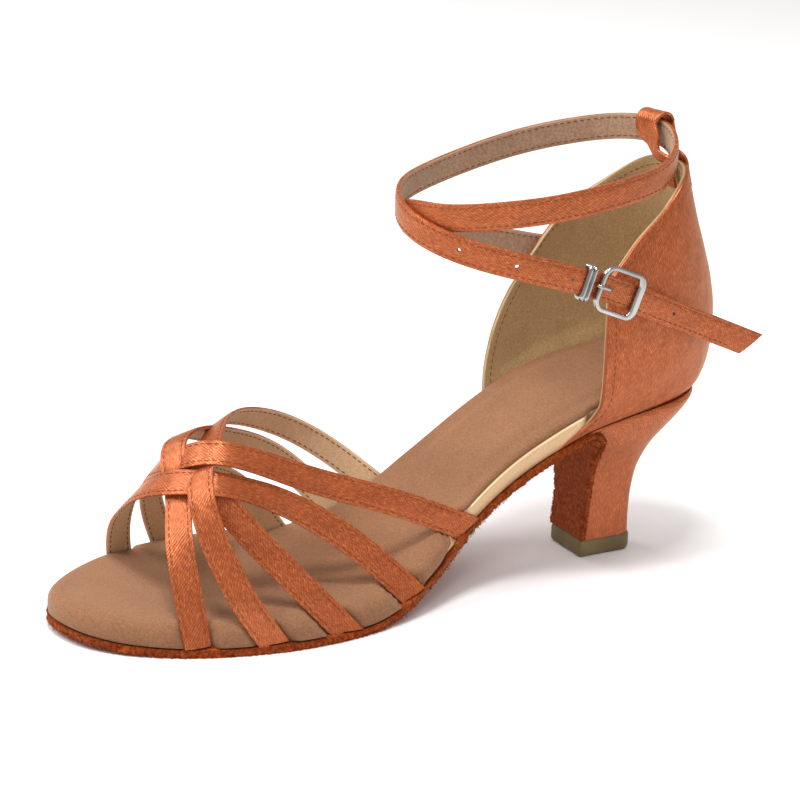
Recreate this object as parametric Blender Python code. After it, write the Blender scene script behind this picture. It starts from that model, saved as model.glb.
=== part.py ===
"""Ballroom dance sandal for the left foot.

The origin is the middle of the heel tip's ground face. +X points to the wearer's left, which is the
lateral side and carries the buckle, -Y points to the toe and +Z up. Lengths are metres. The sole, the
counter and the straps all follow the same last, which a few tables give as shares of its named sizes.
"""

import math

import bmesh
import bpy
import numpy as np

GAP = 0.0003

LENGTH = 0.2205
BALL_WIDTH = 0.076
SEAT_RISE = 0.0522
SEAT_BACK = 0.0335
EDGE_NUDGE = 0.01
SLOPE_STEP = 0.0005
ROUNDS = 24
SEARCH_STEPS = 36
ARCH_LIFT = 0.0022
ARCH_STATION = 0.33
ARCH_SPREAD = 0.17
ARCH_END = 0.60
ARCH_FADE = 0.12
ARCH_START = 0.20
ARCH_REACH = 0.36
ARCH_MOST = 1.2

OUTSOLE = 0.0022
OUTSOLE_MARGIN = 0.0006
BREAST_FLAP = 0.0015
BREAST_RADIUS = 0.0050
BREAST_BOW = 0.0012
BREAST_STEPS = 9
BREAST_FALLS = 7
OUTSOLE_STEPS = 36
OUTSOLE_SHARES = (0, 0.2, 0.5, 0.8, 1)
OUTSOLE_SKIN = 0.0002
OUTSOLE_FLARE = 0.0003
MARGIN_START = 0.40
MARGIN_END = 0.54

BOARD = 0.0062
BOARD_TONGUE = 0.0008
BOARD_FRONT = 0.492
BOARD_FULL = 0.415
BOARD_INSET = 0.0004
BOARD_TAPER = 0.002
BOARD_SOFT = 0.0006
BOARD_ROUND = 0.3
LIP = 0.008
COUNTER_STATION = 0.298
COUNTER_RAMP = 0.03
SOLE_STEPS = 50
SLAB_SHARES = (0.25, 0.5, 0.75)
FOOTBED_FORE = 0.0080
FOOTBED_WAIST = 0.0018
FOOTBED_EDGE = 0.0046
FOOTBED_WAIST_INSET = 0.0013
FOOTBED_WAIST_EDGE = 0.0010
FOOTBED_BULGE = 0.0004
FOOTBED_BULGE_TURN = 1.6

TIP_WIDTH = 0.0185
TIP_DEPTH = 0.0204
TIP_HEIGHT = 0.0060
TIP_CORNER = 0.0032
TIP_FRONT_CORNER = 0.0011
TIP_BEVEL = 0.0007
TIP_BEVEL_HEIGHT = 0.0008
TIP_STEPS = 5
HEEL_TOP_SHIFT = -0.001
HEEL_FRONT_TOP = 0.985
HEEL_WIDEST = 0.30
HEEL_WIDEST_RISE = 0.24
HEEL_LEVELS = (0, 0.1, 0.2, 0.3, 0.4, 0.5, 0.58, 0.66, 0.73, 0.79, 0.84, 0.885, 0.925, 0.96, 0.985, 1.0)
HEEL_SIDE_SHARES = (0.0, 0.3, 0.65)
HEEL_BACK_STEPS = 19

WALL = 0.0020
COUNTER_TOP = 0.130
COUNTER_MIDDLE_X = -0.001
COUNTER_MIDDLE_Y = 0.005
COUNTER_REACH = 0.058
COUNTER_WIDTH = 0.054
MEDIAL_FLARE = 0.0035
FLARE_TURN = (60, 110)
SEAM_TURN = (50, 80)
SEAM_HOLD = 0.22
COUNTER_MOST = 0.95
COUNTER_FRONT = (0.86, 1.0)
COUNTER_FRONT_STEPS = 4
COUNTER_BACK_STEPS = 25
COUNTER_LEVELS = (0, 0.03, 0.07, 0.13, 0.22, 0.33, 0.46, 0.6, 0.74, 0.88, 1.0)

STRAP_WIDTH = 0.0085
STRAP = 0.0015
WEAVE = 0.0005
STRAP_SINK = 0.00045
STRAP_LEAN = 0.1
STRAP_SOFT = 0.25 * STRAP
VAMP_STEPS = 28
NOTCH_DEPTH = 0.0060
NOTCH_STEPS = 7
NOTCH_LONGER = 0.004
KNOT_STATION = 0.817
KNOT_X = -0.0011
KNOT_HEIGHT = 0.0485
KNOT_HALF_LENGTH = 0.0057
KNOT_HALF_WIDTH = 0.0073
KNOT_SLOPE = math.radians(42)
KNOT_ROLL = math.radians(20)

ANKLE_MIDDLE_X = -0.002
ANKLE_MIDDLE_Y = -0.026
ANKLE_HALF_WIDTH = 0.0315
ANKLE_HALF_DEPTH = 0.0452
ANKLE_LAYER = 0.0021
COLLAR = 0.130
TAIL_END_Y = 0.036
TAIL_END_Z = 0.0745
TAIL_IN = 0.0005
TAIL_SHARES = (0.22, 0.45, 0.7, 1.0)
HOLE = 0.0016
HOLE_SIDES = 12
HOLE_PLACES = (-0.054, -0.036, -0.018, -0.003, 0.024)
STRAP_STEPS = 96
TAIL_CUT = 0.0066

LOOP_WIDTH = 0.0100
LOOP_TOP = 0.1445
LOOP_LEG = 0.0085
LOOP_EYE = 0.0033
LOOP_LEAN = -0.0062
LOOP_TURN = 0.05
LOOP_NECK = 0.0014
LOOP_SAG = 0.0014
LOOP_SHOULDER = 0.001
LOOP_OUT = 0.0004
LOOP_LEG_STEPS = 4
LOOP_EYE_STEPS = 9

BUCKLE_LENGTH = 0.0160
BUCKLE_WIDTH = 0.0135
BUCKLE_WIRE = 0.0016
BUCKLE_CORNER = 0.0034
BUCKLE_AHEAD = 0.0022
PRONG_WIRE = 0.0012
PRONG_FLAT = 0.0014
PRONG_END = -0.0034
PRONG_BOW = 0.0004
WIRE_SIDES = 8
CORNER_STEPS = 4
KEEPER_WIRE = 0.0013
KEEPER_WIDTH = 0.0034
KEEPER_CORNER = 0.0011
KEEPER_AHEAD = 0.0124
TAB_START = -0.0066
TAB_LENGTH = 0.034
TAB_DROP = 0.0014
TAB_LAY = STRAP + 3 * GAP
TAB_WIDTH = 0.0080
TAB_THICK = 0.0012
TAB_STEPS = 10

# The sole's edge, heel to toe: station as a share of LENGTH, both sides as shares of BALL_WIDTH.
SOLE_OUTLINE = [
    # station, lateral, medial
    (0.000, -0.013, -0.013),
    (0.030, 0.198, -0.224),
    (0.070, 0.275, -0.300),
    (0.120, 0.303, -0.338),
    (0.200, 0.285, -0.347),
    (0.300, 0.232, -0.340),
    (0.400, 0.230, -0.353),
    (0.480, 0.312, -0.384),
    (0.560, 0.395, -0.450),
    (0.640, 0.440, -0.520),
    (0.720, 0.441, -0.556),
    (0.800, 0.399, -0.551),
    (0.870, 0.326, -0.500),
    (0.930, 0.226, -0.400),
    (0.975, 0.098, -0.278),
    (1.000, -0.125, -0.125),
]

# The underside's height above the floor, as a share of SEAT_RISE.
SOLE_PROFILE = [
    # station, rise
    (0.000, 1.060),
    (0.060, 1.036),
    (0.120, 0.998),
    (0.200, 0.916),
    (0.300, 0.704),
    (0.400, 0.425),
    (0.480, 0.200),
    (0.560, 0.042),
    (0.605, 0.006),
    (0.640, 0.000),
    (0.830, 0.000),
    (0.880, 0.004),
    (0.930, 0.014),
    (0.975, 0.032),
    (1.000, 0.045),
]

# The footbed's side from its foot to its top face: a share of its thickness, and how far inwards it
# lies as a share of FOOTBED_EDGE.
FOOTBED_SIDE = [
    # height, inward
    (0.00, 0.10),
    (0.18, -0.02),
    (0.48, 0.00),
    (0.74, 0.16),
    (0.92, 0.48),
    (1.00, 1.00),
]

# The heel block at shares of its height: half widths as shares of TIP_WIDTH, backs of SEAT_BACK.
HEEL_SECTIONS = [
    # height, half_width, front_half_width, back, squareness
    (0.00, 0.500, 0.485, 0.305, 5.0),
    (0.12, 0.500, 0.485, 0.302, 5.0),
    (0.24, 0.512, 0.490, 0.308, 4.6),
    (0.36, 0.545, 0.515, 0.332, 4.0),
    (0.47, 0.620, 0.570, 0.365, 3.4),
    (0.58, 0.740, 0.665, 0.430, 2.9),
    (0.69, 0.905, 0.810, 0.520, 2.6),
    (0.79, 1.080, 0.960, 0.645, 2.4),
    (0.88, 1.225, 1.060, 0.790, 2.2),
    (0.95, 1.310, 1.100, 0.900, 2.1),
    (1.00, 1.345, 1.110, 0.975, 2.0),
]

# The counter's outside at shares of its height: back as a share of SEAT_BACK, half width of
# COUNTER_WIDTH, and where its two front edges stand, as shares of SEAT_BACK.
COUNTER_SECTIONS = [
    # height, back, half_width, lateral_edge, medial_edge
    (0.00, 1.000, 0.455, -0.830, -0.900),
    (0.05, 1.070, 0.475, -0.610, -0.890),
    (0.12, 1.125, 0.487, -0.485, -0.870),
    (0.22, 1.152, 0.500, -0.450, -0.860),
    (0.34, 1.140, 0.508, -0.445, -0.830),
    (0.48, 1.075, 0.508, -0.445, -0.775),
    (0.62, 0.970, 0.500, -0.440, -0.695),
    (0.80, 0.818, 0.480, -0.425, -0.565),
    (1.00, 0.690, 0.440, -0.400, -0.380),
]

# The height of the counter's top line as a share of COUNTER_TOP, on its two sides.
COUNTER_TOPLINE = [
    # y as a share of SEAT_BACK, lateral, medial
    (-0.42, 0.740, 0.712),
    (-0.30, 0.785, 0.752),
    (-0.12, 0.848, 0.806),
    (0.08, 0.898, 0.850),
    (0.28, 0.950, 0.893),
    (0.46, 0.983, 0.935),
    (0.60, 0.996, 0.974),
    (0.69, 1.000, 1.000),
]

# The two places of a strap's bow: how high up it lies, and the shares of the bulge and the sweep there.
STRAP_BOW = [
    # up, bulge, sweep
    (0.30, 0.85, 0.80),
    (0.65, 0.90, 0.95),
]

# How a strap faces at its eight places, from its lateral foot to its medial one: shares of the way out
# to its own side and of the knot's normal.
STRAP_FACINGS = [
    # lateral, medial, knot
    (1.00, 0.00, 0.00),
    (0.75, 0.00, 0.35),
    (0.30, 0.00, 0.80),
    (0.00, 0.00, 1.00),
    (0.00, 0.00, 1.00),
    (0.00, 0.45, 0.70),
    (0.00, 0.85, 0.25),
    (0.00, 1.00, 0.00),
]

# One row a strap. Its ends are stations of the sole's edge. It bows out by bulge and towards the
# toe by sweep, both as shares of KNOT_HEIGHT, and lies over or under at its two places in the knot.
VAMP_STRAPS = [
    # name, lateral, bulge, sweep, place_1, layer_1, place_2, layer_2, bulge, sweep, medial
    ("column_a", 0.856, 0.078, 0.052, "front", -1, "medial", 1, 0.400, 0.041, 0.506),
    ("column_b", 0.757, 0.097, 0.141, "lateral", 1, "rear", -1, 0.520, 0.173, 0.446),
    ("band_2", 0.530, 0.011, -0.146, "lateral", -1, "front", 1, 0.174, 0.094, 0.842),
    ("band_1", 0.420, 0.047, -0.022, "rear", 1, "medial", -1, 0.199, 0.093, 0.759),
    ("under_strap", 0.649, 0.054, 0.042, "low_lateral", -2.6, "low_medial", -2.6, 0.130, -0.033, 0.589),
]

# The ankle strap's two turns: degrees round the ankle from its front, height as a share of COLLAR,
# and how many layers it lies outside the inner turn.
ANKLE_TURNS = [
    # turn, height, layer
    (-98, 0.757, 0.0),
    (-75, 0.788, 0.0),
    (-48, 0.842, 0.0),
    (-24, 0.888, 0.0),
    (-4, 0.921, 0.0),
    (20, 0.933, 0.0),
    (49, 0.950, 0.0),
    (75, 0.968, 0.0),
    (101, 0.988, 0.0),
    (128, 1.001, 0.0),
    (154, 1.026, 0.2),
    (180, 1.055, 0.6),
    (206, 1.056, 0.9),
    (232, 1.034, 1.0),
    (255, 1.006, 1.0),
    (278, 0.974, 1.0),
    (302, 0.950, 1.0),
    (326, 0.937, 1.0),
    (348, 0.920, 1.0),
    (370, 0.896, 1.0),
    (393, 0.868, 1.0),
    (418, 0.836, 1.0),
    (443, 0.795, 1.0),
    (463, 0.748, 1.1),
]

# The metal slide's section, with its two ridges: shares of half its width and of half its thickness.
KEEPER_SECTION = [
    # wide, deep
    (-1.0, -1.0),
    (1.0, -1.0),
    (1.0, 0.3),
    (0.6, 1.0),
    (0.0, 0.2),
    (-0.6, 1.0),
    (-1.0, 0.3),
]

# The strap's sewn end on the medial outside of the counter, as shares of COUNTER_TOP.
SEWN_END = [
    # y, height
    (0.085, 0.716),
    (0.035, 0.722),
    (-0.020, 0.729),
]


def spline(xs, ys):
    """A natural cubic spline through the points."""
    xs = np.asarray(xs, float)
    ys = np.asarray(ys, float)
    steps = np.diff(xs)
    slopes = np.diff(ys) / steps
    system = np.eye(len(xs))
    right = np.zeros(len(xs))
    for i in range(1, len(xs) - 1):
        system[i, i - 1 : i + 2] = steps[i - 1], 2 * (steps[i - 1] + steps[i]), steps[i]
        right[i] = 6 * (slopes[i] - slopes[i - 1])
    bends = np.linalg.solve(system, right)

    def value(x):
        i = np.clip(np.searchsorted(xs, x) - 1, 0, len(steps) - 1)
        before = xs[i + 1] - x
        after = x - xs[i]
        step = steps[i]
        cubic = (bends[i] * before**3 + bends[i + 1] * after**3) / (6 * step)
        left = ys[i] / step - bends[i] * step / 6
        return cubic + left * before + (ys[i + 1] / step - bends[i + 1] * step / 6) * after

    return value


def even(xs, ys):
    """A curve through the points that never swings past them, so that what is flat stays flat."""
    xs = np.asarray(xs, float)
    ys = np.asarray(ys, float)
    steps = np.diff(xs)
    slopes = np.diff(ys) / steps
    tangents = np.zeros(len(xs))
    same_way = slopes[:-1] * slopes[1:] > 0
    weight_1 = 2 * steps[1:] + steps[:-1]
    weight_2 = steps[1:] + 2 * steps[:-1]
    product = np.where(same_way, slopes[:-1] * slopes[1:], 0.0)
    weighted = np.where(same_way, weight_1 * slopes[1:] + weight_2 * slopes[:-1], 1.0)
    tangents[1:-1] = (weight_1 + weight_2) * product / weighted
    tangents[0] = slopes[0]
    tangents[-1] = slopes[-1]

    def value(x):
        x = np.clip(x, xs[0], xs[-1])
        i = np.clip(np.searchsorted(xs, x) - 1, 0, len(steps) - 1)
        t = (x - xs[i]) / steps[i]
        rise = ys[i] * (1 + 2 * t) * (1 - t) ** 2 + ys[i + 1] * t * t * (3 - 2 * t)
        return rise + steps[i] * (tangents[i] * t * (1 - t) ** 2 - tangents[i + 1] * t * t * (1 - t))

    return value


def column(table, index):
    """One column of a table."""
    return np.array([row[index] for row in table], float)


def turned(station):
    """The angle that spreads the stations evenly round the blunt ends of the sole."""
    return np.arccos(np.clip(1 - 2 * np.asarray(station, float), -1, 1))


_lateral = spline(turned(column(SOLE_OUTLINE, 0)), column(SOLE_OUTLINE, 1) * BALL_WIDTH)
_medial = spline(turned(column(SOLE_OUTLINE, 0)), column(SOLE_OUTLINE, 2) * BALL_WIDTH)
_rise = even(column(SOLE_PROFILE, 0), column(SOLE_PROFILE, 1) * SEAT_RISE)


def station_y(station):
    """How far along the foot a station lies."""
    return SEAT_BACK - LENGTH * np.asarray(station, float)


def y_station(y):
    """The station at a place along the foot."""
    return (SEAT_BACK - np.asarray(y, float)) / LENGTH


def lateral(station):
    """The x of the sole's lateral edge."""
    return _lateral(turned(station))


def medial(station):
    """The x of the sole's medial edge."""
    return _medial(turned(station))


def slope(y):
    """How steeply the underside rises along the foot."""
    return (_rise(y_station(y + SLOPE_STEP)) - _rise(y_station(y - SLOPE_STEP))) / (2 * SLOPE_STEP)


def arch(x, y):
    """The lift of the sole's medial edge along the arch."""
    along = np.exp(-(((y_station(y) - ARCH_STATION) / ARCH_SPREAD) ** 2))
    fade = np.clip((ARCH_END - y_station(y)) / ARCH_FADE, 0, 1) * np.clip(y_station(y) / ARCH_START, 0, 1)
    inner_side = np.clip(-np.asarray(x, float) / (ARCH_REACH * BALL_WIDTH), 0, ARCH_MOST) ** 2
    return ARCH_LIFT * along * fade * inner_side


def sole_top(x, y):
    """The upper face of the outsole, and of the heel block behind it."""
    return _rise(y_station(y)) + OUTSOLE * np.sqrt(1 + slope(y) ** 2) + arch(x, y)


def edge_points(stations, inset):
    """The sole's edge moved inwards by inset: the lateral and the medial side, one point a station."""
    stations = np.asarray(stations, float)
    inset = np.broadcast_to(inset, stations.shape)
    sides = []
    for side, inward in ((lateral, -1), (medial, 1)):
        angle = turned(stations)
        low = np.clip(angle - EDGE_NUDGE, 0, math.pi)
        high = np.clip(angle + EDGE_NUDGE, 0, math.pi)
        s_low = (1 - np.cos(low)) / 2
        s_high = (1 - np.cos(high)) / 2
        dx = side(s_high) - side(s_low)
        dy = station_y(s_high) - station_y(s_low)
        length = np.hypot(dx, dy)
        x = side(stations) - inward * inset * dy / length
        y = station_y(stations) + inward * inset * dx / length
        sides.append(np.stack([x, y], -1))
    return sides


def make_object(name, points, faces, material):
    """One mesh object from points and faces, with its coincident points joined."""
    mesh = bpy.data.meshes.new(name)
    mesh.from_pydata([tuple(p) for p in points], [], [tuple(f) for f in faces])
    build = bmesh.new()
    build.from_mesh(mesh)
    bmesh.ops.remove_doubles(build, verts=build.verts, dist=1e-6)
    bmesh.ops.dissolve_degenerate(build, edges=build.edges, dist=1e-6)
    bmesh.ops.recalc_face_normals(build, faces=build.faces)
    if build.calc_volume(signed=True) < 0:
        bmesh.ops.reverse_faces(build, faces=build.faces)
    build.to_mesh(mesh)
    build.free()
    mesh.shade_smooth()
    mesh.set_sharp_from_angle(angle=math.radians(40))
    obj = bpy.data.objects.new(name, mesh)
    PARTS.objects.link(obj)
    mesh.materials.append(material)
    return obj


def loft(name, rings, material, ends_closed=False):
    """A skin over rings of equally many points, capped at both ends unless the rings join up."""
    rings = np.asarray(rings, float)
    count, size = rings.shape[:2]
    faces = []
    for i in range(count if ends_closed else count - 1):
        j = (i + 1) % count
        for k in range(size):
            m = (k + 1) % size
            faces.append((i * size + k, i * size + m, j * size + m, j * size + k))
    if not ends_closed:
        faces.append(tuple(range(size)))
        faces.append(tuple((count - 1) * size + k for k in reversed(range(size))))
    return make_object(name, rings.reshape(-1, 3), faces, material)


def slab(name, stations, levels, material):
    """A layer of the sole: levels run up its side, each an inset and a height above the sole's top."""
    sides = [edge_points(stations, inset) for inset, _ in levels]
    rings = []
    for i in range(len(stations)):
        up = []
        down = []
        for (_, height), (left, right) in zip(levels, sides):
            lift = height[i] if np.ndim(height) else height
            for row, (x, y) in ((up, left[i]), (down, right[i])):
                row.append((x, y, sole_top(x, y) + lift))
        ring = up + across(up[-1], down[-1], levels[-1][1], i)
        ring += down[::-1] + across(down[0], up[0], levels[0][1], i)
        rings.append(ring)
    return loft(name, rings, material)


def across(start, end, height, i):
    """Points between two edge points that follow the sole's top."""
    lift = height[i] if np.ndim(height) else height
    found = []
    for share in SLAB_SHARES:
        x = start[0] + (end[0] - start[0]) * share
        y = start[1] + (end[1] - start[1]) * share
        found.append((x, y, sole_top(x, y) + lift))
    return found


def spread_stations(first, last, count):
    """Stations packed towards the blunt ends of the sole."""
    angles = np.linspace(turned(first), turned(last), count)
    return (1 - np.cos(angles)) / 2


def ramp(values, start, end):
    """0 before start, 1 after end and a smooth rise between."""
    share = np.clip((np.asarray(values, float) - start) / (end - start), 0, 1)
    return share * share * (3 - 2 * share)


def board_height(stations):
    """The board's thickness: full under the arch and heel, a thin tongue at its front end."""
    return BOARD_TONGUE + (BOARD - BOARD_TONGUE) * (1 - ramp(stations, BOARD_FULL, BOARD_FRONT - LIP))


def board_inset(stations):
    """The board fills the sole's edge at the waist and stays inside the counter at the heel."""
    inside = 1 - ramp(stations, COUNTER_STATION, COUNTER_STATION + COUNTER_RAMP)
    forward = ramp(stations, BOARD_FULL + COUNTER_RAMP, BOARD_FRONT)
    return BOARD_INSET + (WALL + 3 * GAP) * inside + BOARD_TAPER * forward


def footbed_in_counter(stations):
    """1 where the footbed lies inside the counter, 0 ahead of it."""
    start = COUNTER_STATION + COUNTER_RAMP / 3
    return 1 - ramp(stations, start, start + COUNTER_RAMP)


def make_board(material):
    """The wrapped insole board, with soft edges."""
    stations = spread_stations(0, 1, SOLE_STEPS)
    stations = np.append(stations[stations < BOARD_FRONT - LIP], BOARD_FRONT)
    inset = board_inset(stations)
    low = np.full(len(stations), GAP)
    top = GAP + board_height(stations)
    rounding = np.minimum(BOARD_ROUND * board_height(stations), BOARD_SOFT)
    levels = [
        (inset + BOARD_SOFT, low),
        (inset, low + rounding),
        (inset, top - rounding),
        (inset + BOARD_SOFT, top),
    ]
    return slab("insole_board", stations, levels, material)


def make_footbed(material):
    """The padded footbed. It rests on the board, and on the outsole ahead of it."""
    stations = spread_stations(0, 1, SOLE_STEPS)
    under = np.where(stations < BOARD_FRONT + COUNTER_RAMP, board_height(stations) + 3 * GAP, GAP)
    waist = 1 - ramp(stations, BOARD_FULL, BOARD_FRONT)
    total = FOOTBED_FORE + (BOARD + 2 * GAP + FOOTBED_WAIST - FOOTBED_FORE) * waist
    thick = total - under
    inside = board_inset(stations) * footbed_in_counter(stations)
    base = np.maximum(FOOTBED_WAIST_INSET * waist, inside)
    edge = FOOTBED_EDGE + (FOOTBED_WAIST_EDGE - FOOTBED_EDGE) * waist
    bulge = FOOTBED_BULGE * (1 - waist)
    levels = []
    for height, inward in FOOTBED_SIDE:
        middle = math.sin(math.pi * min(height * FOOTBED_BULGE_TURN, 1.0))
        levels.append((base + edge * inward - bulge * middle, under + thick * height))
    return slab("footbed", stations, levels, material)


def breast_arc():
    """The centre of the curve where the outsole turns down the heel, and the station where it starts."""
    front = -TIP_DEPTH / 2
    start_y = front - BREAST_RADIUS
    for _ in range(ROUNDS):
        angle = math.atan(slope(start_y))
        start_y = front - BREAST_RADIUS - BREAST_RADIUS * math.sin(angle)
    angle = math.atan(slope(start_y))
    start_z = float(sole_top(0.0, start_y)) - OUTSOLE / math.cos(angle)
    centre = (start_y + BREAST_RADIUS * math.sin(angle), start_z - BREAST_RADIUS * math.cos(angle))
    return centre, start_y, angle


def breast_path(depth, steps=BREAST_STEPS, falls=BREAST_FALLS):
    """Points (y, z) that lie depth behind the visible face of the breast, from its top to the tip."""
    centre, _, start = breast_arc()
    points = []
    for angle in np.linspace(start, -math.pi / 2, steps):
        reach = BREAST_RADIUS + depth
        points.append((centre[0] - reach * math.sin(angle), centre[1] + reach * math.cos(angle)))
    low = TIP_HEIGHT + GAP
    for share in np.linspace(0, 1, falls)[1:]:
        z = centre[1] + (low - centre[1]) * share
        bow = BREAST_BOW * math.sin(math.pi * share)
        points.append((-TIP_DEPTH / 2 + depth + bow, z))
    return points


def heel_share(y, z):
    """How high a point of the heel block lies, as a share of its height there."""
    low = TIP_HEIGHT + GAP
    return (z - low) / (float(sole_top(0.0, y)) - low)


def heel_curve(index, scale):
    """A column of HEEL_SECTIONS as a curve over the heel's height, in metres."""
    return even(column(HEEL_SECTIONS, 0), column(HEEL_SECTIONS, index) * scale)


def breast_half_width(y, z):
    """Half the width of the heel's front face."""
    return float(heel_curve(2, TIP_WIDTH)(min(heel_share(y, z), 1.0)))


def make_outsole(material):
    """The suede from the toe to the breast, then down the heel's front face."""
    _, start_y, _ = breast_arc()
    rings = []
    stations = spread_stations(1.0, float(y_station(start_y)), OUTSOLE_STEPS)
    fore = ramp(stations, MARGIN_START, MARGIN_END)
    margin = -OUTSOLE_MARGIN * fore - OUTSOLE_SKIN
    sides = [edge_points(stations, margin + extra) for extra in (0.0, OUTSOLE_FLARE)]
    for i in range(len(stations)):
        ring = []
        for level, (left, right) in ((0, sides[0]), (1, sides[1])):
            row = []
            for share in OUTSOLE_SHARES:
                x, y = left[i] + (right[i] - left[i]) * share
                top = float(sole_top(x, y))
                drop = 0 if level == 0 else OUTSOLE * math.sqrt(1 + float(slope(y)) ** 2)
                row.append((x, y, top - drop))
            ring += row if level == 0 else row[::-1]
        rings.append(ring)
    outer = breast_path(0.0)
    end_left = rings[-1][0][0]
    end_right = rings[-1][4][0]
    for k in range(1, len(outer)):
        share = min(k / (BREAST_STEPS - 1), 1.0)
        thickness = OUTSOLE + (BREAST_FLAP - OUTSOLE) * share
        back = breast_path(thickness)[k]
        half = breast_half_width(*back)
        blend = ramp(share, 0.0, 1.0)
        left = end_left + (half + HEEL_TOP_SHIFT * heel_share(*back) - end_left) * blend
        right = end_right + (-half + HEEL_TOP_SHIFT * heel_share(*back) - end_right) * blend
        ring = [(left + (right - left) * s, *back) for s in OUTSOLE_SHARES]
        ring += [(left + (right - left) * s, *outer[k]) for s in reversed(OUTSOLE_SHARES)]
        rings.append(ring)
    return loft("outsole", rings, material)


def squared(angle, power):
    """The cosine and sine of a superellipse."""
    c, s = math.cos(angle), math.sin(angle)
    return (math.copysign(abs(c) ** (2 / power), c), math.copysign(abs(s) ** (2 / power), s))


def make_heel_block(material):
    """The flared heel, from the square tip up to the seat, its front face under the suede."""
    path = breast_path(BREAST_FLAP + 2 * GAP, 2 * BREAST_STEPS, 2 * BREAST_FALLS)
    front = sorted((heel_share(y, z), y) for y, z in path if heel_share(y, z) <= HEEL_FRONT_TOP)
    front_y = even([p[0] for p in front], [p[1] for p in front])
    half = heel_curve(1, TIP_WIDTH)
    front_half = heel_curve(2, TIP_WIDTH)
    back = heel_curve(3, SEAT_BACK)
    squareness = heel_curve(4, 1.0)
    low = TIP_HEIGHT + GAP
    rings = []
    for share in HEEL_LEVELS:
        y_front = float(front_y(min(share, front[-1][0])))
        y_back = float(back(share))
        y_wide = y_front + (HEEL_WIDEST + HEEL_WIDEST_RISE * share) * (y_back - y_front)
        wide = float(half(share))
        narrow = min(float(front_half(share)), wide)
        outline = []
        for step in HEEL_SIDE_SHARES:
            x = narrow + (wide - narrow) * math.sin(math.pi / 2 * step)
            outline.append((x, y_front + (y_wide - y_front) * step))
        for angle in np.linspace(0, math.pi, HEEL_BACK_STEPS):
            c, s = squared(angle, float(squareness(share)))
            outline.append((wide * c, y_wide + (y_back - y_wide) * s))
        outline += [(-x, y) for x, y in outline[2::-1]]
        outline += [(-narrow / 2, y_front), (0.0, y_front), (narrow / 2, y_front)]
        ring = []
        for x, y in outline:
            x += HEEL_TOP_SHIFT * share
            ring.append((x, y, low + share * (float(sole_top(x, y)) - low)))
        rings.append(ring)
    return loft("heel_block", rings, material)


def make_heel_tip(material):
    """The top piece: a square with round corners, a little smaller where it meets the floor."""
    rings = []
    for z, shrink in ((0.0, TIP_BEVEL), (TIP_BEVEL_HEIGHT, 0.0), (TIP_HEIGHT, 0.0)):
        ring = []
        for turn in range(4):
            corner = math.pi / 2 * turn
            radius = TIP_CORNER if turn in (0, 1) else TIP_FRONT_CORNER
            for step in range(TIP_STEPS):
                angle = corner + math.pi / 2 * step / (TIP_STEPS - 1)
                sign_x = 1 if turn in (0, 3) else -1
                sign_y = 1 if turn in (0, 1) else -1
                x = sign_x * (TIP_WIDTH / 2 - shrink - radius) + radius * math.cos(angle)
                y = sign_y * (TIP_DEPTH / 2 - shrink - radius) + radius * math.sin(angle)
                ring.append((x, y, z))
        rings.append(ring)
    return loft("heel_tip", rings, material)


def counter_point(turn, share, depth=0.0):
    """A point of the counter, depth inside its outer face. Turn runs from -1, its lateral front edge,
    round the back to 1, its medial one, and share from its seam up to its top line."""
    table = COUNTER_SECTIONS
    heights = column(table, 0)
    edge_index = 3 if turn < 0 else 4
    edge_y = float(even(heights, column(table, edge_index) * SEAT_BACK)(share))
    half = float(even(heights, column(table, 2) * COUNTER_WIDTH)(share)) - depth
    back = float(even(heights, column(table, 1) * SEAT_BACK)(share)) - COUNTER_MIDDLE_Y - depth
    reach = COUNTER_REACH
    edge_angle = math.pi / 2 + math.asin(min((COUNTER_MIDDLE_Y - edge_y) / reach, COUNTER_MOST))
    angle = abs(turn) * edge_angle
    side = 1 if turn < 0 else -1
    bend = back if angle < math.pi / 2 else reach
    flare = 0.0 if turn < 0 else float(MEDIAL_FLARE * ramp(math.degrees(angle), *FLARE_TURN))
    x = COUNTER_MIDDLE_X + side * (half * math.sin(angle) + flare)
    y = COUNTER_MIDDLE_Y + bend * math.cos(angle)
    y_outer = y + (depth * math.cos(angle) if angle < math.pi / 2 else 0.0)
    # At the seam the wall stands on the sole's own outline.
    on_sole = (lateral if turn < 0 else medial)(float(y_station(y)))
    hold = ramp(math.degrees(angle), *SEAM_TURN) * (1 - ramp(share, 0.0, SEAM_HOLD))
    x += (float(on_sole) - side * depth - x) * float(hold)
    seam = float(sole_top(x, y)) + GAP
    line = column(COUNTER_TOPLINE, 1 if turn < 0 else 2) * COUNTER_TOP
    top = float(even(column(COUNTER_TOPLINE, 0) * SEAT_BACK, line)(y_outer))
    return np.array([x, y, seam + share * (top - seam)])


def counter_side(side, y, z):
    """The x of the counter's outer face at a height and a place along the foot."""
    shares = np.linspace(0, 1, SEARCH_STEPS)
    grid = [counter_point(side * turn, share) for turn in shares for share in shares]
    return min(grid, key=lambda p: math.hypot(p[1] - y, p[2] - z))[0]


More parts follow.
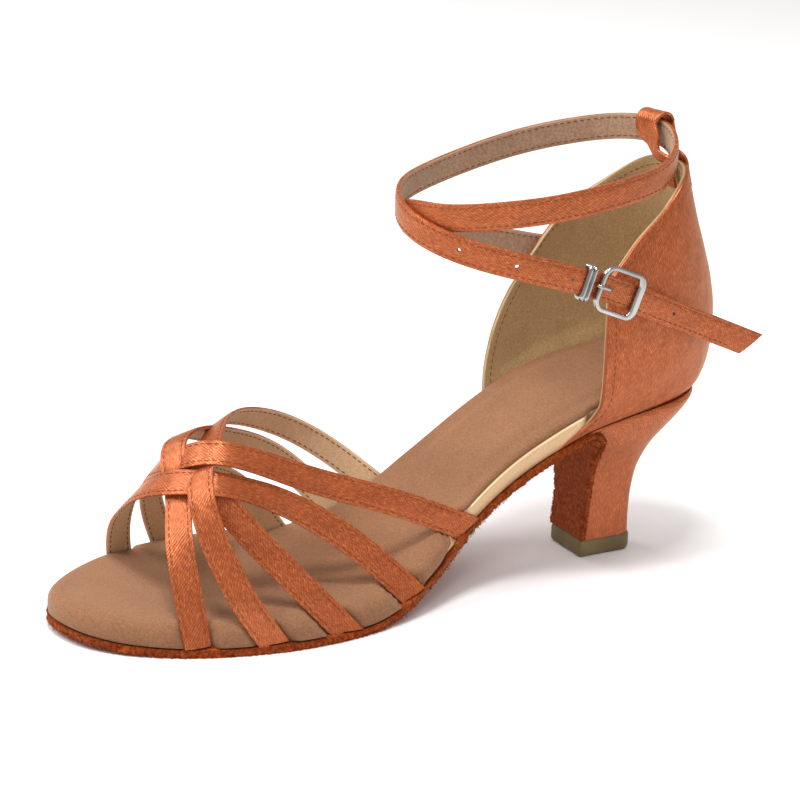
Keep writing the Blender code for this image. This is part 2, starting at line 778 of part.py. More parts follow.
def make_counter(material):
    """The heel cup: an outer and an inner skin, WALL apart, joined round their rim."""
    front = np.linspace(*COUNTER_FRONT, COUNTER_FRONT_STEPS)
    back = np.linspace(-COUNTER_FRONT[0], COUNTER_FRONT[0], COUNTER_BACK_STEPS)[1:-1]
    turns = np.concatenate([-front[::-1], back, front])
    faces = []
    outer = [counter_point(t, s) for s in COUNTER_LEVELS for t in turns]
    inner = [counter_point(t, s, WALL) for s in COUNTER_LEVELS for t in turns]
    wide = len(turns)
    tall = len(COUNTER_LEVELS)
    far = wide * tall
    for i in range(tall - 1):
        for k in range(wide - 1):
            a, b, c, d = i * wide + k, i * wide + k + 1, (i + 1) * wide + k + 1, (i + 1) * wide + k
            faces.append((a, b, c, d))
            faces.append((far + d, far + c, far + b, far + a))
    rim = list(range(wide))
    rim += [i * wide + wide - 1 for i in range(1, tall)]
    rim += [(tall - 1) * wide + k for k in reversed(range(wide - 1))]
    rim += [i * wide for i in reversed(range(1, tall - 1))]
    for a, b in zip(rim, rim[1:] + rim[:1]):
        faces.append((b, a, far + a, far + b))
    return make_object("counter", outer + inner, faces, material)


def knot_places():
    """The four crossings of the knot, the places of the strap under it, and its normal."""
    centre = np.array([KNOT_X, float(station_y(KNOT_STATION)), KNOT_HEIGHT])
    rear = np.array([0, math.cos(KNOT_SLOPE), math.sin(KNOT_SLOPE)])
    side = np.array([math.cos(KNOT_ROLL), 0, -math.sin(KNOT_ROLL)])
    side -= rear * side.dot(rear)
    side /= np.linalg.norm(side)
    places = {
        "front": centre - rear * KNOT_HALF_LENGTH,
        "rear": centre + rear * KNOT_HALF_LENGTH,
        "lateral": centre + side * KNOT_HALF_WIDTH,
        "medial": centre - side * KNOT_HALF_WIDTH,
        "low_lateral": centre + side * KNOT_HALF_WIDTH / 2,
        "low_medial": centre - side * KNOT_HALF_WIDTH / 2,
    }
    return places, np.cross(side, rear)


def strap_foot(side, station):
    """Where a strap stands on the outsole, beside the footbed."""
    y = float(station_y(station))
    x = float((lateral if side > 0 else medial)(station)) - side * STRAP_SINK
    return np.array([x, y, float(sole_top(x, y)) + GAP])


def strap_bow(foot, place, bulge, sweep):
    """Two points between a strap's foot and the knot, bowed out and towards the toe."""
    chord = place - foot
    run = chord / np.linalg.norm(chord)
    out = np.array([math.copysign(1, foot[0]), 0, 1.0])
    out -= run * out.dot(run)
    out /= np.linalg.norm(out)
    forward = np.array([0, -1.0, 0])
    forward -= run * forward.dot(run) + out * forward.dot(out)
    forward /= np.linalg.norm(forward)
    bulge *= KNOT_HEIGHT
    sweep *= KNOT_HEIGHT
    return [
        foot + chord * up + out * bulge * outward + forward * sweep * ahead
        for up, outward, ahead in STRAP_BOW
    ]


def ribbon_rings(path, normals, width, thickness, soft=STRAP_SOFT):
    """Rectangular sections along a path, their corners cut by soft."""
    tangents = np.gradient(path, axis=0)
    tangents /= np.linalg.norm(tangents, axis=1)[:, None]
    rings = []
    for point, tangent, normal in zip(path, tangents, normals):
        side = np.cross(tangent, normal)
        side /= np.linalg.norm(side)
        outward = np.cross(side, tangent)
        half = width / 2
        deep = thickness / 2
        ring = []
        for a, b in (
            (-half + soft, -deep), (half - soft, -deep), (half, -deep + soft),
            (half, deep - soft), (half - soft, deep), (-half + soft, deep),
            (-half, deep - soft), (-half, -deep + soft),
        ):
            ring.append(point + side * a + outward * b)
        rings.append(ring)
    return rings


def strap_path(row):
    """The centre line of a vamp strap, with its normals."""
    _, station_l, bulge_l, sweep_l, place_1, layer_1, place_2, layer_2, bulge_m, sweep_m, station_m = row
    places, knot_normal = knot_places()
    foot_l = strap_foot(1, station_l)
    foot_m = strap_foot(-1, station_m)
    low_l, high_l = strap_bow(foot_l, places[place_1], bulge_l, sweep_l)
    low_m, high_m = strap_bow(foot_m, places[place_2], bulge_m, sweep_m)
    over_1 = places[place_1] + knot_normal * WEAVE * layer_1
    over_2 = places[place_2] + knot_normal * WEAVE * layer_2
    marks = np.array([foot_l, low_l, high_l, over_1, over_2, high_m, low_m, foot_m])
    ways = np.array([(1.0, 0, STRAP_LEAN), (-1.0, 0, STRAP_LEAN), knot_normal])
    facings = np.array(STRAP_FACINGS) @ ways
    lengths = np.concatenate([[0], np.cumsum(np.linalg.norm(np.diff(marks, axis=0), axis=1))])
    along = np.linspace(0, lengths[-1], VAMP_STEPS)
    points = np.stack([spline(lengths, marks[:, i])(along) for i in range(3)], -1)
    normals = np.stack([even(lengths, facings[:, i])(along) for i in range(3)], -1)
    return points, normals


def trim_to_sole(ring, run):
    """The points of a strap's end section, moved along the strap onto the outsole."""
    run = run / np.linalg.norm(run)
    moved = []
    for point in ring:
        for _ in range(ROUNDS):
            short = float(sole_top(point[0], point[1])) + 2 * GAP - point[2]
            point = point + run * short / (run[2] - float(slope(point[1])) * run[1])
        moved.append(point)
    return moved


def make_vamp(material):
    """The five straps, joined where they cross."""
    strips = []
    for row in VAMP_STRAPS:
        path, normals = strap_path(row)
        rings = ribbon_rings(path, normals, STRAP_WIDTH, STRAP)
        rings[0] = trim_to_sole(rings[0], path[0] - path[1])
        rings[-1] = trim_to_sole(rings[-1], path[-1] - path[-2])
        strips.append(loft(row[0], rings, material))
    vamp = strips[0]
    vamp.name = "vamp_straps"
    for strip in strips[1:]:
        strip.name = "cutter_" + strip.name
        boolean(vamp, strip, "UNION")
    return vamp


def boolean(target, tool, operation):
    """A live Boolean, its tool kept as a hidden helper."""
    modifier = target.modifiers.new(operation.lower() + "_" + tool.name, "BOOLEAN")
    modifier.operation = operation
    modifier.object = tool
    for collection in list(tool.users_collection):
        collection.objects.unlink(tool)
    CUTTERS.objects.link(tool)
    tool.hide_render = True
    tool.display_type = "WIRE"


def cut_strap_notches(targets, material):
    """Each strap end lies in a notch of the footbed and of the board, open to the outside."""
    for row in VAMP_STRAPS:
        path, normals = strap_path(row)
        for end, part in (("lateral", slice(0, NOTCH_STEPS)), ("medial", slice(-NOTCH_STEPS, None))):
            line = path[part] + normals[part] * NOTCH_DEPTH / 2
            tip = 0 if end == "lateral" else -1
            inner = 1 if end == "lateral" else -2
            line[tip] += (line[tip] - line[inner]) / np.linalg.norm(line[tip] - line[inner]) * NOTCH_LONGER
            deep = STRAP + 2 * GAP + NOTCH_DEPTH
            rings = ribbon_rings(line, normals[part], STRAP_WIDTH + 2 * GAP, deep, 0)
            tool = loft("cutter_notch_" + row[0] + "_" + end, rings, material)
            for target in targets:
                boolean(target, tool, "DIFFERENCE")


def ankle_point(turn, layer):
    """The place of a turn of the ankle strap, seen from above."""
    angle = math.radians(turn)
    out = ANKLE_LAYER * layer
    x = ANKLE_MIDDLE_X + (ANKLE_HALF_WIDTH + out) * math.sin(angle)
    y = ANKLE_MIDDLE_Y - (ANKLE_HALF_DEPTH + out) * math.cos(angle)
    return x, y


def ankle_path():
    """The centre line and the outward normals of the ankle strap, from its sewn end to its cut tail."""
    rows = []
    for y, height in SEWN_END:
        y *= COUNTER_TOP
        z = height * COUNTER_TOP
        rows.append((counter_side(1, y, z) - 3 * GAP - STRAP / 2, y, z))
    for turn, height, layer in ANKLE_TURNS:
        x, y = ankle_point(turn, layer)
        rows.append((x, y, height * COLLAR))
    last = np.array(rows[-1])
    end = np.array([last[0] - TAIL_IN, TAIL_END_Y, TAIL_END_Z])
    for share in TAIL_SHARES:
        rows.append(last + (end - last) * share)
    rows = np.array(rows)
    lengths = np.concatenate([[0], np.cumsum(np.linalg.norm(np.diff(rows, axis=0), axis=1))])
    along = np.linspace(0, lengths[-1], STRAP_STEPS)
    path = np.stack([spline(lengths, rows[:, i])(along) for i in range(3)], -1)
    tangents = np.gradient(path, axis=0)
    normals = np.cross(tangents, [0, 0, 1.0])
    normals /= np.linalg.norm(normals, axis=1)[:, None]
    return path, normals, along


def tail_place(distance):
    """A place on the tail's straight line: its point and its axes along, across and out. Distance is
    measured from BUCKLE_AHEAD before the last row of ANKLE_TURNS, where the buckle lies."""
    path, normals, along = ankle_path()
    last_turn, last_height, last_layer = ANKLE_TURNS[-1]
    x, y = ankle_point(last_turn, last_layer)
    near = np.linalg.norm(path - np.array([x, y, last_height * COLLAR]), axis=1)
    start = along[int(np.argmin(near))] - BUCKLE_AHEAD
    at = start + distance
    point = np.array([np.interp(at, along, path[:, i]) for i in range(3)])
    normal = np.array([np.interp(at, along, normals[:, i]) for i in range(3)])
    tangents = np.gradient(path, axis=0)
    tangent = np.array([np.interp(at, along, tangents[:, i]) for i in range(3)])
    return (point, *frame_at(normal, tangent / np.linalg.norm(tangent)))


def make_ankle_strap(material):
    """One ribbon twice round the ankle, with a slanted end and its row of holes."""
    path, normals, _ = ankle_path()
    rings = np.array(ribbon_rings(path, normals, STRAP_WIDTH, STRAP))
    end_axis = path[-1] - path[-2]
    end_axis /= np.linalg.norm(end_axis)
    for k in range(rings.shape[1]):
        high = (rings[-1][k][2] - path[-1][2]) / STRAP_WIDTH
        rings[-1][k] = rings[-1][k] + end_axis * TAIL_CUT * high
    strap = loft("ankle_strap", rings, material)
    for number, place in enumerate(HOLE_PLACES, 1):
        point, _, _, out = tail_place(place)
        tool = rod("cutter_hole_%d" % number, point, out, HOLE / 2, 4 * STRAP, HOLE_SIDES, material)
        boolean(strap, tool, "DIFFERENCE")
    return strap


def frame_at(normal, along):
    """Three unit axes: along, across and out."""
    out = np.asarray(normal, float) / np.linalg.norm(normal)
    side = np.cross(out, along)
    side /= np.linalg.norm(side)
    return np.cross(side, out), side, out


def rod(name, point, axis, radius, length, sides, material):
    """A round bar centred on a point. Its axis is not upright."""
    axis = np.asarray(axis, float) / np.linalg.norm(axis)
    u = np.cross(axis, [0, 0, 1.0])
    u /= np.linalg.norm(u)
    v = np.cross(axis, u)
    rings = []
    for end in (-0.5, 0.5):
        ring = []
        for k in range(sides):
            angle = 2 * math.pi * k / sides
            ring.append(point + axis * length * end + radius * (u * math.cos(angle) + v * math.sin(angle)))
        rings.append(ring)
    return loft(name, rings, material)


def tube(name, centres, radius, sides, material, closed=True):
    """A wire of round section along a closed or open row of points."""
    centres = np.asarray(centres, float)
    if closed:
        tangents = np.roll(centres, -1, axis=0) - np.roll(centres, 1, axis=0)
    else:
        tangents = np.gradient(centres, axis=0)
    middle = centres.mean(axis=0)
    rings = []
    flat = np.linalg.svd(centres - middle)[2][2]
    for centre, tangent in zip(centres, tangents):
        tangent = tangent / np.linalg.norm(tangent)
        u = np.cross(tangent, flat)
        u /= np.linalg.norm(u)
        v = np.cross(tangent, u)
        ring = []
        for k in range(sides):
            angle = 2 * math.pi * k / sides
            ring.append(centre + radius * (u * math.cos(angle) + v * math.sin(angle)))
        rings.append(ring)
    return loft(name, rings, material, ends_closed=closed)


def rounded_frame(centre, u, v, length, width, corner, steps):
    """Points round a rectangle with round corners."""
    points = []
    for turn, (a, b) in enumerate(((1, 1), (-1, 1), (-1, -1), (1, -1))):
        for step in range(steps + 1):
            angle = math.pi / 2 * (turn + step / steps)
            x = a * (length / 2 - corner) + corner * math.cos(angle)
            y = b * (width / 2 - corner) + corner * math.sin(angle)
            points.append(centre + u * x + v * y)
    return points


def make_buckle(metal):
    """A round-cornered frame that stands over the strap, and its prong."""
    centre, along, side, out = tail_place(0.0)
    rise = STRAP / 2 + GAP + BUCKLE_WIRE / 2
    middle = centre + out * rise
    ring = rounded_frame(middle, along, side, BUCKLE_LENGTH, BUCKLE_WIDTH, BUCKLE_CORNER, CORNER_STEPS)
    tube("buckle_frame", ring, BUCKLE_WIRE / 2, WIRE_SIDES, metal)
    start = centre + out * (rise + BUCKLE_WIRE + GAP) - along * (BUCKLE_LENGTH / 2 - PRONG_WIRE / 2)
    end = centre + out * (STRAP / 2 + GAP + PRONG_WIRE / 2) + along * PRONG_END
    line = [start, start + along * PRONG_FLAT, (start + end) / 2 + out * PRONG_BOW, end]
    tube("buckle_prong", line, PRONG_WIRE / 2, WIRE_SIDES, metal, closed=False)


def make_keeper(metal):
    """The metal slide round the strap, just ahead of the buckle."""
    centre, along, side, out = tail_place(-KEEPER_AHEAD)
    wide = STRAP_WIDTH + 2 * GAP + KEEPER_WIRE
    thick = STRAP + 2 * GAP + KEEPER_WIRE
    ring = rounded_frame(centre, side, out, wide, thick, KEEPER_CORNER, CORNER_STEPS - 1)
    rings = []
    for point in ring:
        outward = point - centre
        outward -= along * outward.dot(along)
        outward /= np.linalg.norm(outward)
        rings.append([
            point + along * KEEPER_WIDTH / 2 * wide_share + outward * KEEPER_WIRE / 2 * deep_share
            for wide_share, deep_share in KEEPER_SECTION
        ])
    return loft("strap_keeper", rings, metal, ends_closed=True)


def make_tab(material):
    """The short strap that holds the buckle, sewn on the counter under the tail."""
    centre, along, side, out = tail_place(0.0)
    rows = []
    for share in np.linspace(0, 1, TAB_STEPS):
        ahead = TAB_START + TAB_LENGTH * share
        rows.append(centre + along * ahead - out * TAB_LAY - side * TAB_DROP * ramp(share, 0.0, 1.0))
    normals = [out] * TAB_STEPS
    return loft("buckle_tab", ribbon_rings(np.array(rows), normals, TAB_WIDTH, TAB_THICK), material)


def loop_path():
    """The centre line and normals of the loop on the counter's top edge. Both its legs hold the
    wall, and its eye holds the strap."""
    outer_y = counter_point(LOOP_TURN, 1.0)[1] + 2 * GAP + STRAP / 2
    inner_y = counter_point(LOOP_TURN, 1.0, WALL)[1] - GAP - STRAP / 2 - LOOP_SAG
    x, _, top = counter_point(LOOP_TURN, 1.0)
    lower = counter_point(LOOP_TURN, COUNTER_LEVELS[-2])
    wall_lean = (lower[1] - counter_point(LOOP_TURN, 1.0)[1]) / (top - lower[2])
    eye_x = x + LOOP_LEAN
    path, _, _ = ankle_path()
    half_turn = path[: STRAP_STEPS // 2]
    nearest = int(np.argmin(np.hypot(half_turn[:, 0] - eye_x, half_turn[:, 1] - inner_y)))
    eye = half_turn[nearest]
    strap_run = half_turn[nearest - 1] - half_turn[nearest + 1]
    strap_run *= [1, 1, 0] / np.linalg.norm(strap_run)
    crown = LOOP_TOP - STRAP / 2 - LOOP_EYE
    drops = LOOP_LEG * np.linspace(1, 0, LOOP_LEG_STEPS)
    points = [(x, outer_y + wall_lean * drop, top - drop) for drop in drops]
    neck = top + LOOP_NECK
    shoulder = (top + crown) / 2 + LOOP_SHOULDER
    points.append((x + LOOP_LEAN / 3, eye[1] + LOOP_EYE + LOOP_OUT, neck))
    points.append((x + LOOP_LEAN * 2 / 3, eye[1] + LOOP_EYE, shoulder))
    for angle in np.linspace(0, math.pi, LOOP_EYE_STEPS):
        points.append((eye_x, eye[1] + LOOP_EYE * math.cos(angle), crown + LOOP_EYE * math.sin(angle)))
    points.append((x + LOOP_LEAN * 2 / 3, eye[1] - LOOP_EYE, shoulder))
    points.append((x + LOOP_LEAN / 3, eye[1] - LOOP_EYE + LOOP_OUT, neck))
    points += [(x, inner_y + wall_lean * drop, top - drop) for drop in drops[::-1]]
    loop = np.array(points)
    # The legs lie flat on the wall and the eye turns to lie square to the strap.
    up = ramp(loop[:, 2], top, crown)[:, None]
    widths = np.array([1.0, 0, 0]) * (1 - up) + strap_run * up
    return loop, np.cross(widths, np.gradient(loop, axis=0))


def make_loop(material):
    """The satin loop that leads the ankle strap."""
    loop, normals = loop_path()
    return loft("back_loop", ribbon_rings(loop, normals, LOOP_WIDTH, STRAP), material)


def finish(name, colour, roughness, metallic=0.0):
    """A material with a plain colour."""
    material = bpy.data.materials.new(name)
    material.use_nodes = True
    shader = material.node_tree.nodes["Principled BSDF"]
    shader.inputs["Base Color"].default_value = (*colour, 1.0)
    shader.inputs["Roughness"].default_value = roughness
    shader.inputs["Metallic"].default_value = metallic
    material.diffuse_color = (*colour, 1.0)
    return material


for leftover in list(bpy.data.objects):
    bpy.data.objects.remove(leftover, do_unlink=True)

PARTS = bpy.data.collections.new("ballroom_dance_shoe")
CUTTERS = bpy.data.collections.new("cutters")
bpy.context.scene.collection.children.link(PARTS)
bpy.context.scene.collection.children.link(CUTTERS)

satin = finish("satin", (0.58, 0.14, 0.05), 0.35)
suede = finish("sole_suede", (0.43, 0.09, 0.014), 0.95)
sock = finish("sock_microsuede", (0.43, 0.22, 0.12), 0.9)
gold = finish("gold_board_wrap", (0.68, 0.48, 0.28), 0.4)
tip = finish("heel_tip_plastic", (0.20, 0.13, 0.045), 0.5)
steel = finish("polished_metal", (0.80, 0.80, 0.80), 0.15, 1.0)

make_heel_tip(tip)
make_heel_block(satin)
make_outsole(suede)
board = make_board(gold)
footbed = make_footbed(sock)
make_vamp(satin)
cut_strap_notches([footbed, board], sock)
make_counter(satin)
make_ankle_strap(satin)
make_loop(satin)
make_tab(satin)
make_keeper(steel)
make_buckle(steel)
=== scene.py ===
"""The looks of the ballroom dance sandal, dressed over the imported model.

Lengths are metres, in the model's own frame: the middle of the heel tip's ground face is the origin,
+X is the buckle side, -Y the toe and +Z up. The tables give the last that every piece follows.
"""

import math

import bmesh
import bpy
import numpy as np
from mathutils import Matrix, Vector
from mathutils import noise as mathutils_noise
from mathutils.bvhtree import BVHTree


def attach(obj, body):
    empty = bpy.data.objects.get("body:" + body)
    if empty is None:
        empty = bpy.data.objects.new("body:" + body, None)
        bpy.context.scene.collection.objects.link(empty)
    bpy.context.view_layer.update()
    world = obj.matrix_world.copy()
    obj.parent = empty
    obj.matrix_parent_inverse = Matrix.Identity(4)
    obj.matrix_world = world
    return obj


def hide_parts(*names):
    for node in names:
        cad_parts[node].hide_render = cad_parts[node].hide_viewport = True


GAP = 0.0003

LENGTH = 0.2205
BALL_WIDTH = 0.076
SEAT_RISE = 0.0522
SEAT_BACK = 0.0335
EDGE_NUDGE = 0.01
SLOPE_STEP = 0.0005
ROUNDS = 24
SEARCH_STEPS = 36
ARCH_LIFT = 0.0022
ARCH_STATION = 0.33
ARCH_SPREAD = 0.17
ARCH_END = 0.60
ARCH_FADE = 0.12
ARCH_START = 0.20
ARCH_REACH = 0.36
ARCH_MOST = 1.2

OUTSOLE = 0.0022
OUTSOLE_MARGIN = 0.0006
BREAST_FLAP = 0.0015
BREAST_RADIUS = 0.0050
BREAST_BOW = 0.0012
MARGIN_START = 0.40
MARGIN_END = 0.54

BOARD = 0.0062
BOARD_TONGUE = 0.0008
BOARD_FRONT = 0.492
BOARD_FULL = 0.415
BOARD_INSET = 0.0004
BOARD_TAPER = 0.002
LIP = 0.008
FOOTBED_FORE = 0.0080
FOOTBED_WAIST = 0.0018
FOOTBED_EDGE = 0.0046
FOOTBED_WAIST_INSET = 0.0013

TIP_WIDTH = 0.0185
TIP_DEPTH = 0.0204
TIP_HEIGHT = 0.0060
TIP_CORNER = 0.0032
TIP_FRONT_CORNER = 0.0011
HEEL_TOP_SHIFT = -0.001

WALL = 0.0020
COUNTER_TOP = 0.130
COUNTER_MIDDLE_X = -0.001
COUNTER_MIDDLE_Y = 0.005
COUNTER_REACH = 0.058
COUNTER_WIDTH = 0.054
MEDIAL_FLARE = 0.0035
FLARE_TURN = (60, 110)
SEAM_TURN = (50, 80)
SEAM_HOLD = 0.22
COUNTER_MOST = 0.95
COUNTER_LEVELS = (0, 0.03, 0.07, 0.13, 0.22, 0.33, 0.46, 0.6, 0.74, 0.88, 1.0)

STRAP_WIDTH = 0.0085
STRAP = 0.0015
WEAVE = 0.00088
STRAP_SINK = 0.00045
STRAP_LEAN = 0.1
VAMP_STEPS = 28
KNOT_STATION = 0.817
KNOT_X = -0.0011
KNOT_HEIGHT = 0.0485
KNOT_HALF_LENGTH = 0.0057
KNOT_HALF_WIDTH = 0.0073
KNOT_SLOPE = math.radians(42)
KNOT_ROLL = math.radians(20)

ANKLE_MIDDLE_X = -0.002
ANKLE_MIDDLE_Y = -0.026
ANKLE_HALF_WIDTH = 0.0315
ANKLE_HALF_DEPTH = 0.0452
ANKLE_LAYER = 0.0021
COLLAR = 0.130
TAIL_END_Y = 0.036
TAIL_END_Z = 0.0745
TAIL_IN = 0.0005
TAIL_SHARES = (0.22, 0.45, 0.7, 1.0)
HOLE = 0.0016
HOLE_PLACES = (-0.054, -0.036, -0.018, -0.003, 0.024)
STRAP_STEPS = 96
TAIL_CUT = 0.0066

LOOP_WIDTH = 0.0100
LOOP_TOP = 0.1445
LOOP_LEG = 0.0085
LOOP_EYE = 0.0033
LOOP_LEAN = -0.0110
LOOP_TURN = -0.11
LOOP_NECK = 0.0014
LOOP_SAG = 0.0014
LOOP_SHOULDER = 0.001
LOOP_OUT = 0.0004
LOOP_LEG_STEPS = 4
LOOP_EYE_STEPS = 9

BUCKLE_LENGTH = 0.0160
BUCKLE_WIDTH = 0.0135
BUCKLE_WIRE = 0.0016
BUCKLE_CORNER = 0.0034
BUCKLE_AHEAD = 0.0022
PRONG_WIRE = 0.0012
KEEPER_WIRE = 0.0013
KEEPER_WIDTH = 0.0034
KEEPER_CORNER = 0.0011
KEEPER_AHEAD = 0.0124
TAB_START = -0.0066
TAB_LENGTH = 0.034
TAB_DROP = 0.0014
TAB_LAY = STRAP + 3 * GAP
TAB_WIDTH = 0.0080
TAB_THICK = 0.0012

# The sole's edge, heel to toe: station as a share of LENGTH, both sides as shares of BALL_WIDTH.
SOLE_OUTLINE = [
    # station, lateral, medial
    (0.000, -0.013, -0.013),
    (0.030, 0.198, -0.224),
    (0.070, 0.275, -0.300),
    (0.120, 0.303, -0.338),
    (0.200, 0.285, -0.347),
    (0.300, 0.232, -0.340),
    (0.400, 0.230, -0.353),
    (0.480, 0.312, -0.384),
    (0.560, 0.395, -0.450),
    (0.640, 0.440, -0.520),
    (0.720, 0.441, -0.556),
    (0.800, 0.399, -0.551),
    (0.870, 0.326, -0.500),
    (0.930, 0.226, -0.400),
    (0.975, 0.098, -0.278),
    (1.000, -0.125, -0.125),
]

# The underside's height above the floor, as a share of SEAT_RISE.
SOLE_PROFILE = [
    # station, rise
    (0.000, 1.060),
    (0.060, 1.036),
    (0.120, 0.998),
    (0.200, 0.916),
    (0.300, 0.704),
    (0.400, 0.425),
    (0.480, 0.200),
    (0.560, 0.042),
    (0.605, 0.006),
    (0.640, 0.000),
    (0.830, 0.000),
    (0.880, 0.004),
    (0.930, 0.014),
    (0.975, 0.032),
    (1.000, 0.045),
]

# The heel block at shares of its height: half widths as shares of TIP_WIDTH, backs of SEAT_BACK.
HEEL_SECTIONS = [
    # height, half_width, front_half_width, back, squareness
    (0.00, 0.500, 0.485, 0.305, 5.0),
    (0.12, 0.500, 0.485, 0.302, 5.0),
    (0.24, 0.512, 0.490, 0.308, 4.6),
    (0.36, 0.545, 0.515, 0.332, 4.0),
    (0.47, 0.620, 0.570, 0.365, 3.4),
    (0.58, 0.740, 0.665, 0.430, 2.9),
    (0.69, 0.905, 0.810, 0.520, 2.6),
    (0.79, 1.080, 0.960, 0.645, 2.4),
    (0.88, 1.225, 1.060, 0.790, 2.2),
    (0.95, 1.310, 1.100, 0.900, 2.1),
    (1.00, 1.345, 1.110, 0.975, 2.0),
]

# The counter's outside at shares of its height: back as a share of SEAT_BACK, half width of
# COUNTER_WIDTH, and where its two front edges stand, as shares of SEAT_BACK.
COUNTER_SECTIONS = [
    # height, back, half_width, lateral_edge, medial_edge
    (0.00, 1.000, 0.455, -0.830, -0.900),
    (0.05, 1.070, 0.475, -0.610, -0.890),
    (0.12, 1.125, 0.487, -0.485, -0.870),
    (0.22, 1.152, 0.500, -0.450, -0.860),
    (0.34, 1.140, 0.508, -0.445, -0.830),
    (0.48, 1.075, 0.508, -0.445, -0.775),
    (0.62, 0.970, 0.500, -0.440, -0.695),
    (0.80, 0.818, 0.480, -0.425, -0.565),
    (1.00, 0.690, 0.440, -0.400, -0.380),
]

# The height of the counter's top line as a share of COUNTER_TOP, on its two sides.
COUNTER_TOPLINE = [
    # y as a share of SEAT_BACK, lateral, medial
    (-0.42, 0.740, 0.712),
    (-0.30, 0.785, 0.752),
    (-0.12, 0.848, 0.806),
    (0.08, 0.898, 0.850),
    (0.28, 0.950, 0.893),
    (0.46, 0.983, 0.935),
    (0.60, 0.996, 0.974),
    (0.69, 1.000, 1.000),
]

# The two places of a strap's bow: how high up it lies, and the shares of the bulge and the sweep there.
STRAP_BOW = [
    # up, bulge, sweep
    (0.30, 0.85, 0.80),
    (0.65, 0.90, 0.95),
]

# How a strap faces at its eight places, from its lateral foot to its medial one: shares of the way out
# to its own side and of the knot's normal.
STRAP_FACINGS = [
    # lateral, medial, knot
    (1.00, 0.00, 0.00),
    (0.75, 0.00, 0.35),
    (0.30, 0.00, 0.80),
    (0.00, 0.00, 1.00),
    (0.00, 0.00, 1.00),
    (0.00, 0.45, 0.70),
    (0.00, 0.85, 0.25),
    (0.00, 1.00, 0.00),
]

# One row a strap. Its ends are stations of the sole's edge. It bows out by bulge and towards the
# toe by sweep, both as shares of KNOT_HEIGHT, and lies over or under at its two places in the knot.
VAMP_STRAPS = [
    # name, lateral, bulge, sweep, place_1, layer_1, place_2, layer_2, bulge, sweep, medial
    ("column_a", 0.856, 0.078, 0.052, "front", -1.4, "medial", 1, 0.400, 0.041, 0.506),
    ("column_b", 0.757, 0.097, 0.141, "lateral", 1, "rear", -3.0, 0.520, 0.173, 0.446),
    ("band_2", 0.530, 0.011, -0.146, "lateral", -1, "front", 1, 0.174, 0.094, 0.842),
    ("band_1", 0.420, 0.047, -0.022, "rear", 1.7, "medial", -1, 0.199, 0.093, 0.759),
    ("under_strap", 0.649, 0.054, 0.042, "low_lateral", -2.6, "low_medial", -2.6, 0.130, -0.033, 0.589),
]

# The ankle strap's two turns: degrees round the ankle from its front, height as a share of COLLAR,
# and how many layers it lies outside the inner turn.
ANKLE_TURNS = [
    # turn, height, layer
    (-98, 0.757, 0.0),
    (-75, 0.788, 0.0),
    (-48, 0.842, 0.0),
    (-24, 0.888, 0.0),
    (-4, 0.921, 0.0),
    (20, 0.933, 0.0),
    (49, 0.950, 0.0),
    (75, 0.968, 0.0),
    (101, 0.988, 0.0),
    (128, 1.001, 0.0),
    (154, 1.026, 0.2),
    (180, 1.055, 0.6),
    (206, 1.056, 0.9),
    (232, 1.034, 1.0),
    (255, 1.006, 1.0),
    (278, 0.974, 1.0),
    (302, 0.950, 1.0),
    (326, 0.937, 1.0),
    (348, 0.920, 1.0),
    (370, 0.896, 1.0),
    (393, 0.868, 1.0),
    (418, 0.836, 1.0),
    (443, 0.795, 1.0),
    (463, 0.748, 1.1),
]

# The strap's sewn end on the medial outside of the counter, as shares of COUNTER_TOP.
SEWN_END = [
    # y, height
    (0.085, 0.716),
    (0.035, 0.722),
    (-0.020, 0.729),
]

# The zones of a strap's skin.
SATIN = 0
CREAM = 1
LINING = 2

UV_PER_METRE = 1000
TINY = 1e-9

# A strap's rounded edge, from its face to its lining.
# inset, height as a share of the half thickness, drop, zone on the right, zone on the left
RIBBON_EDGE = (
    (0.00006, 0.66, 0.0, SATIN, SATIN),
    (0.0, 0.2, 0.0, SATIN, SATIN),
    (0.00001, -0.3, 0.0, SATIN, SATIN),
    (0.00010, -0.82, 0.0, CREAM, SATIN),
    (0.00024, -1.0, 0.0, CREAM, CREAM),
    (0.00052, -1.0, 0.00006, LINING, CREAM),
)
FACE_STEPS = 17
FACE_INSET = 0.0003
FACE_CROWN = 0.00016
FACE_FALL = 0.00012
GROOVE_WIDTH = 0.00042
GROOVE_DEPTH = 0.00013
LINING_SAG = 0.00005

STITCH_INSET = 0.00125
STITCH_PITCH = 0.0022
STITCH_LENGTH = 0.00150
STITCH_WIDTH = 0.00035
STITCH_HEIGHT = 0.00016
STITCH_SUNK = 0.00002
STITCH_AIM = 0.0004
STITCH_SIDES = 6
# place along the stitch, swelling
STITCH_BEAD = ((-0.5, 0.25), (-0.32, 0.9), (0.0, 1.0), (0.32, 0.9), (0.5, 0.25))

PRESS_REACH = 0.016
PRESS_EDGE = 0.0002
PRESS_FADE = 0.0016
PRESS_GAP = 0.00025

PAD_INSET = 0.0075
PAD_FRONT = 0.405
PAD_SOFT = 0.0016
PAD_FADE = 0.012
PAD_STEP = 0.0009
PUCKER_SCALE = 55
PUCKER_HEIGHT = 0.00022
CUP_STATION = 0.228
CUP_FADE = 0.008

SOCK_STATIONS = 230
SOCK_CROSSWISE = 25
SOCK_ROLL = 9
SOCK_OVER = 0.02
SOCK_OUT = 0.0007
SOCK_WAIST_EDGE = 0.0014
SOCK_BULGE = 0.0004
SOCK_FOOT = 0.06
SOCK_TURN = 0.0008

BAND_STATIONS = 150
BAND_CROSSWISE = 9
BAND_ROLL = 9
BAND_END = 0.004
BAND_TAPER_START = 0.03
BAND_ROUND = 0.0011
BAND_ROUND_SHARE = 0.4

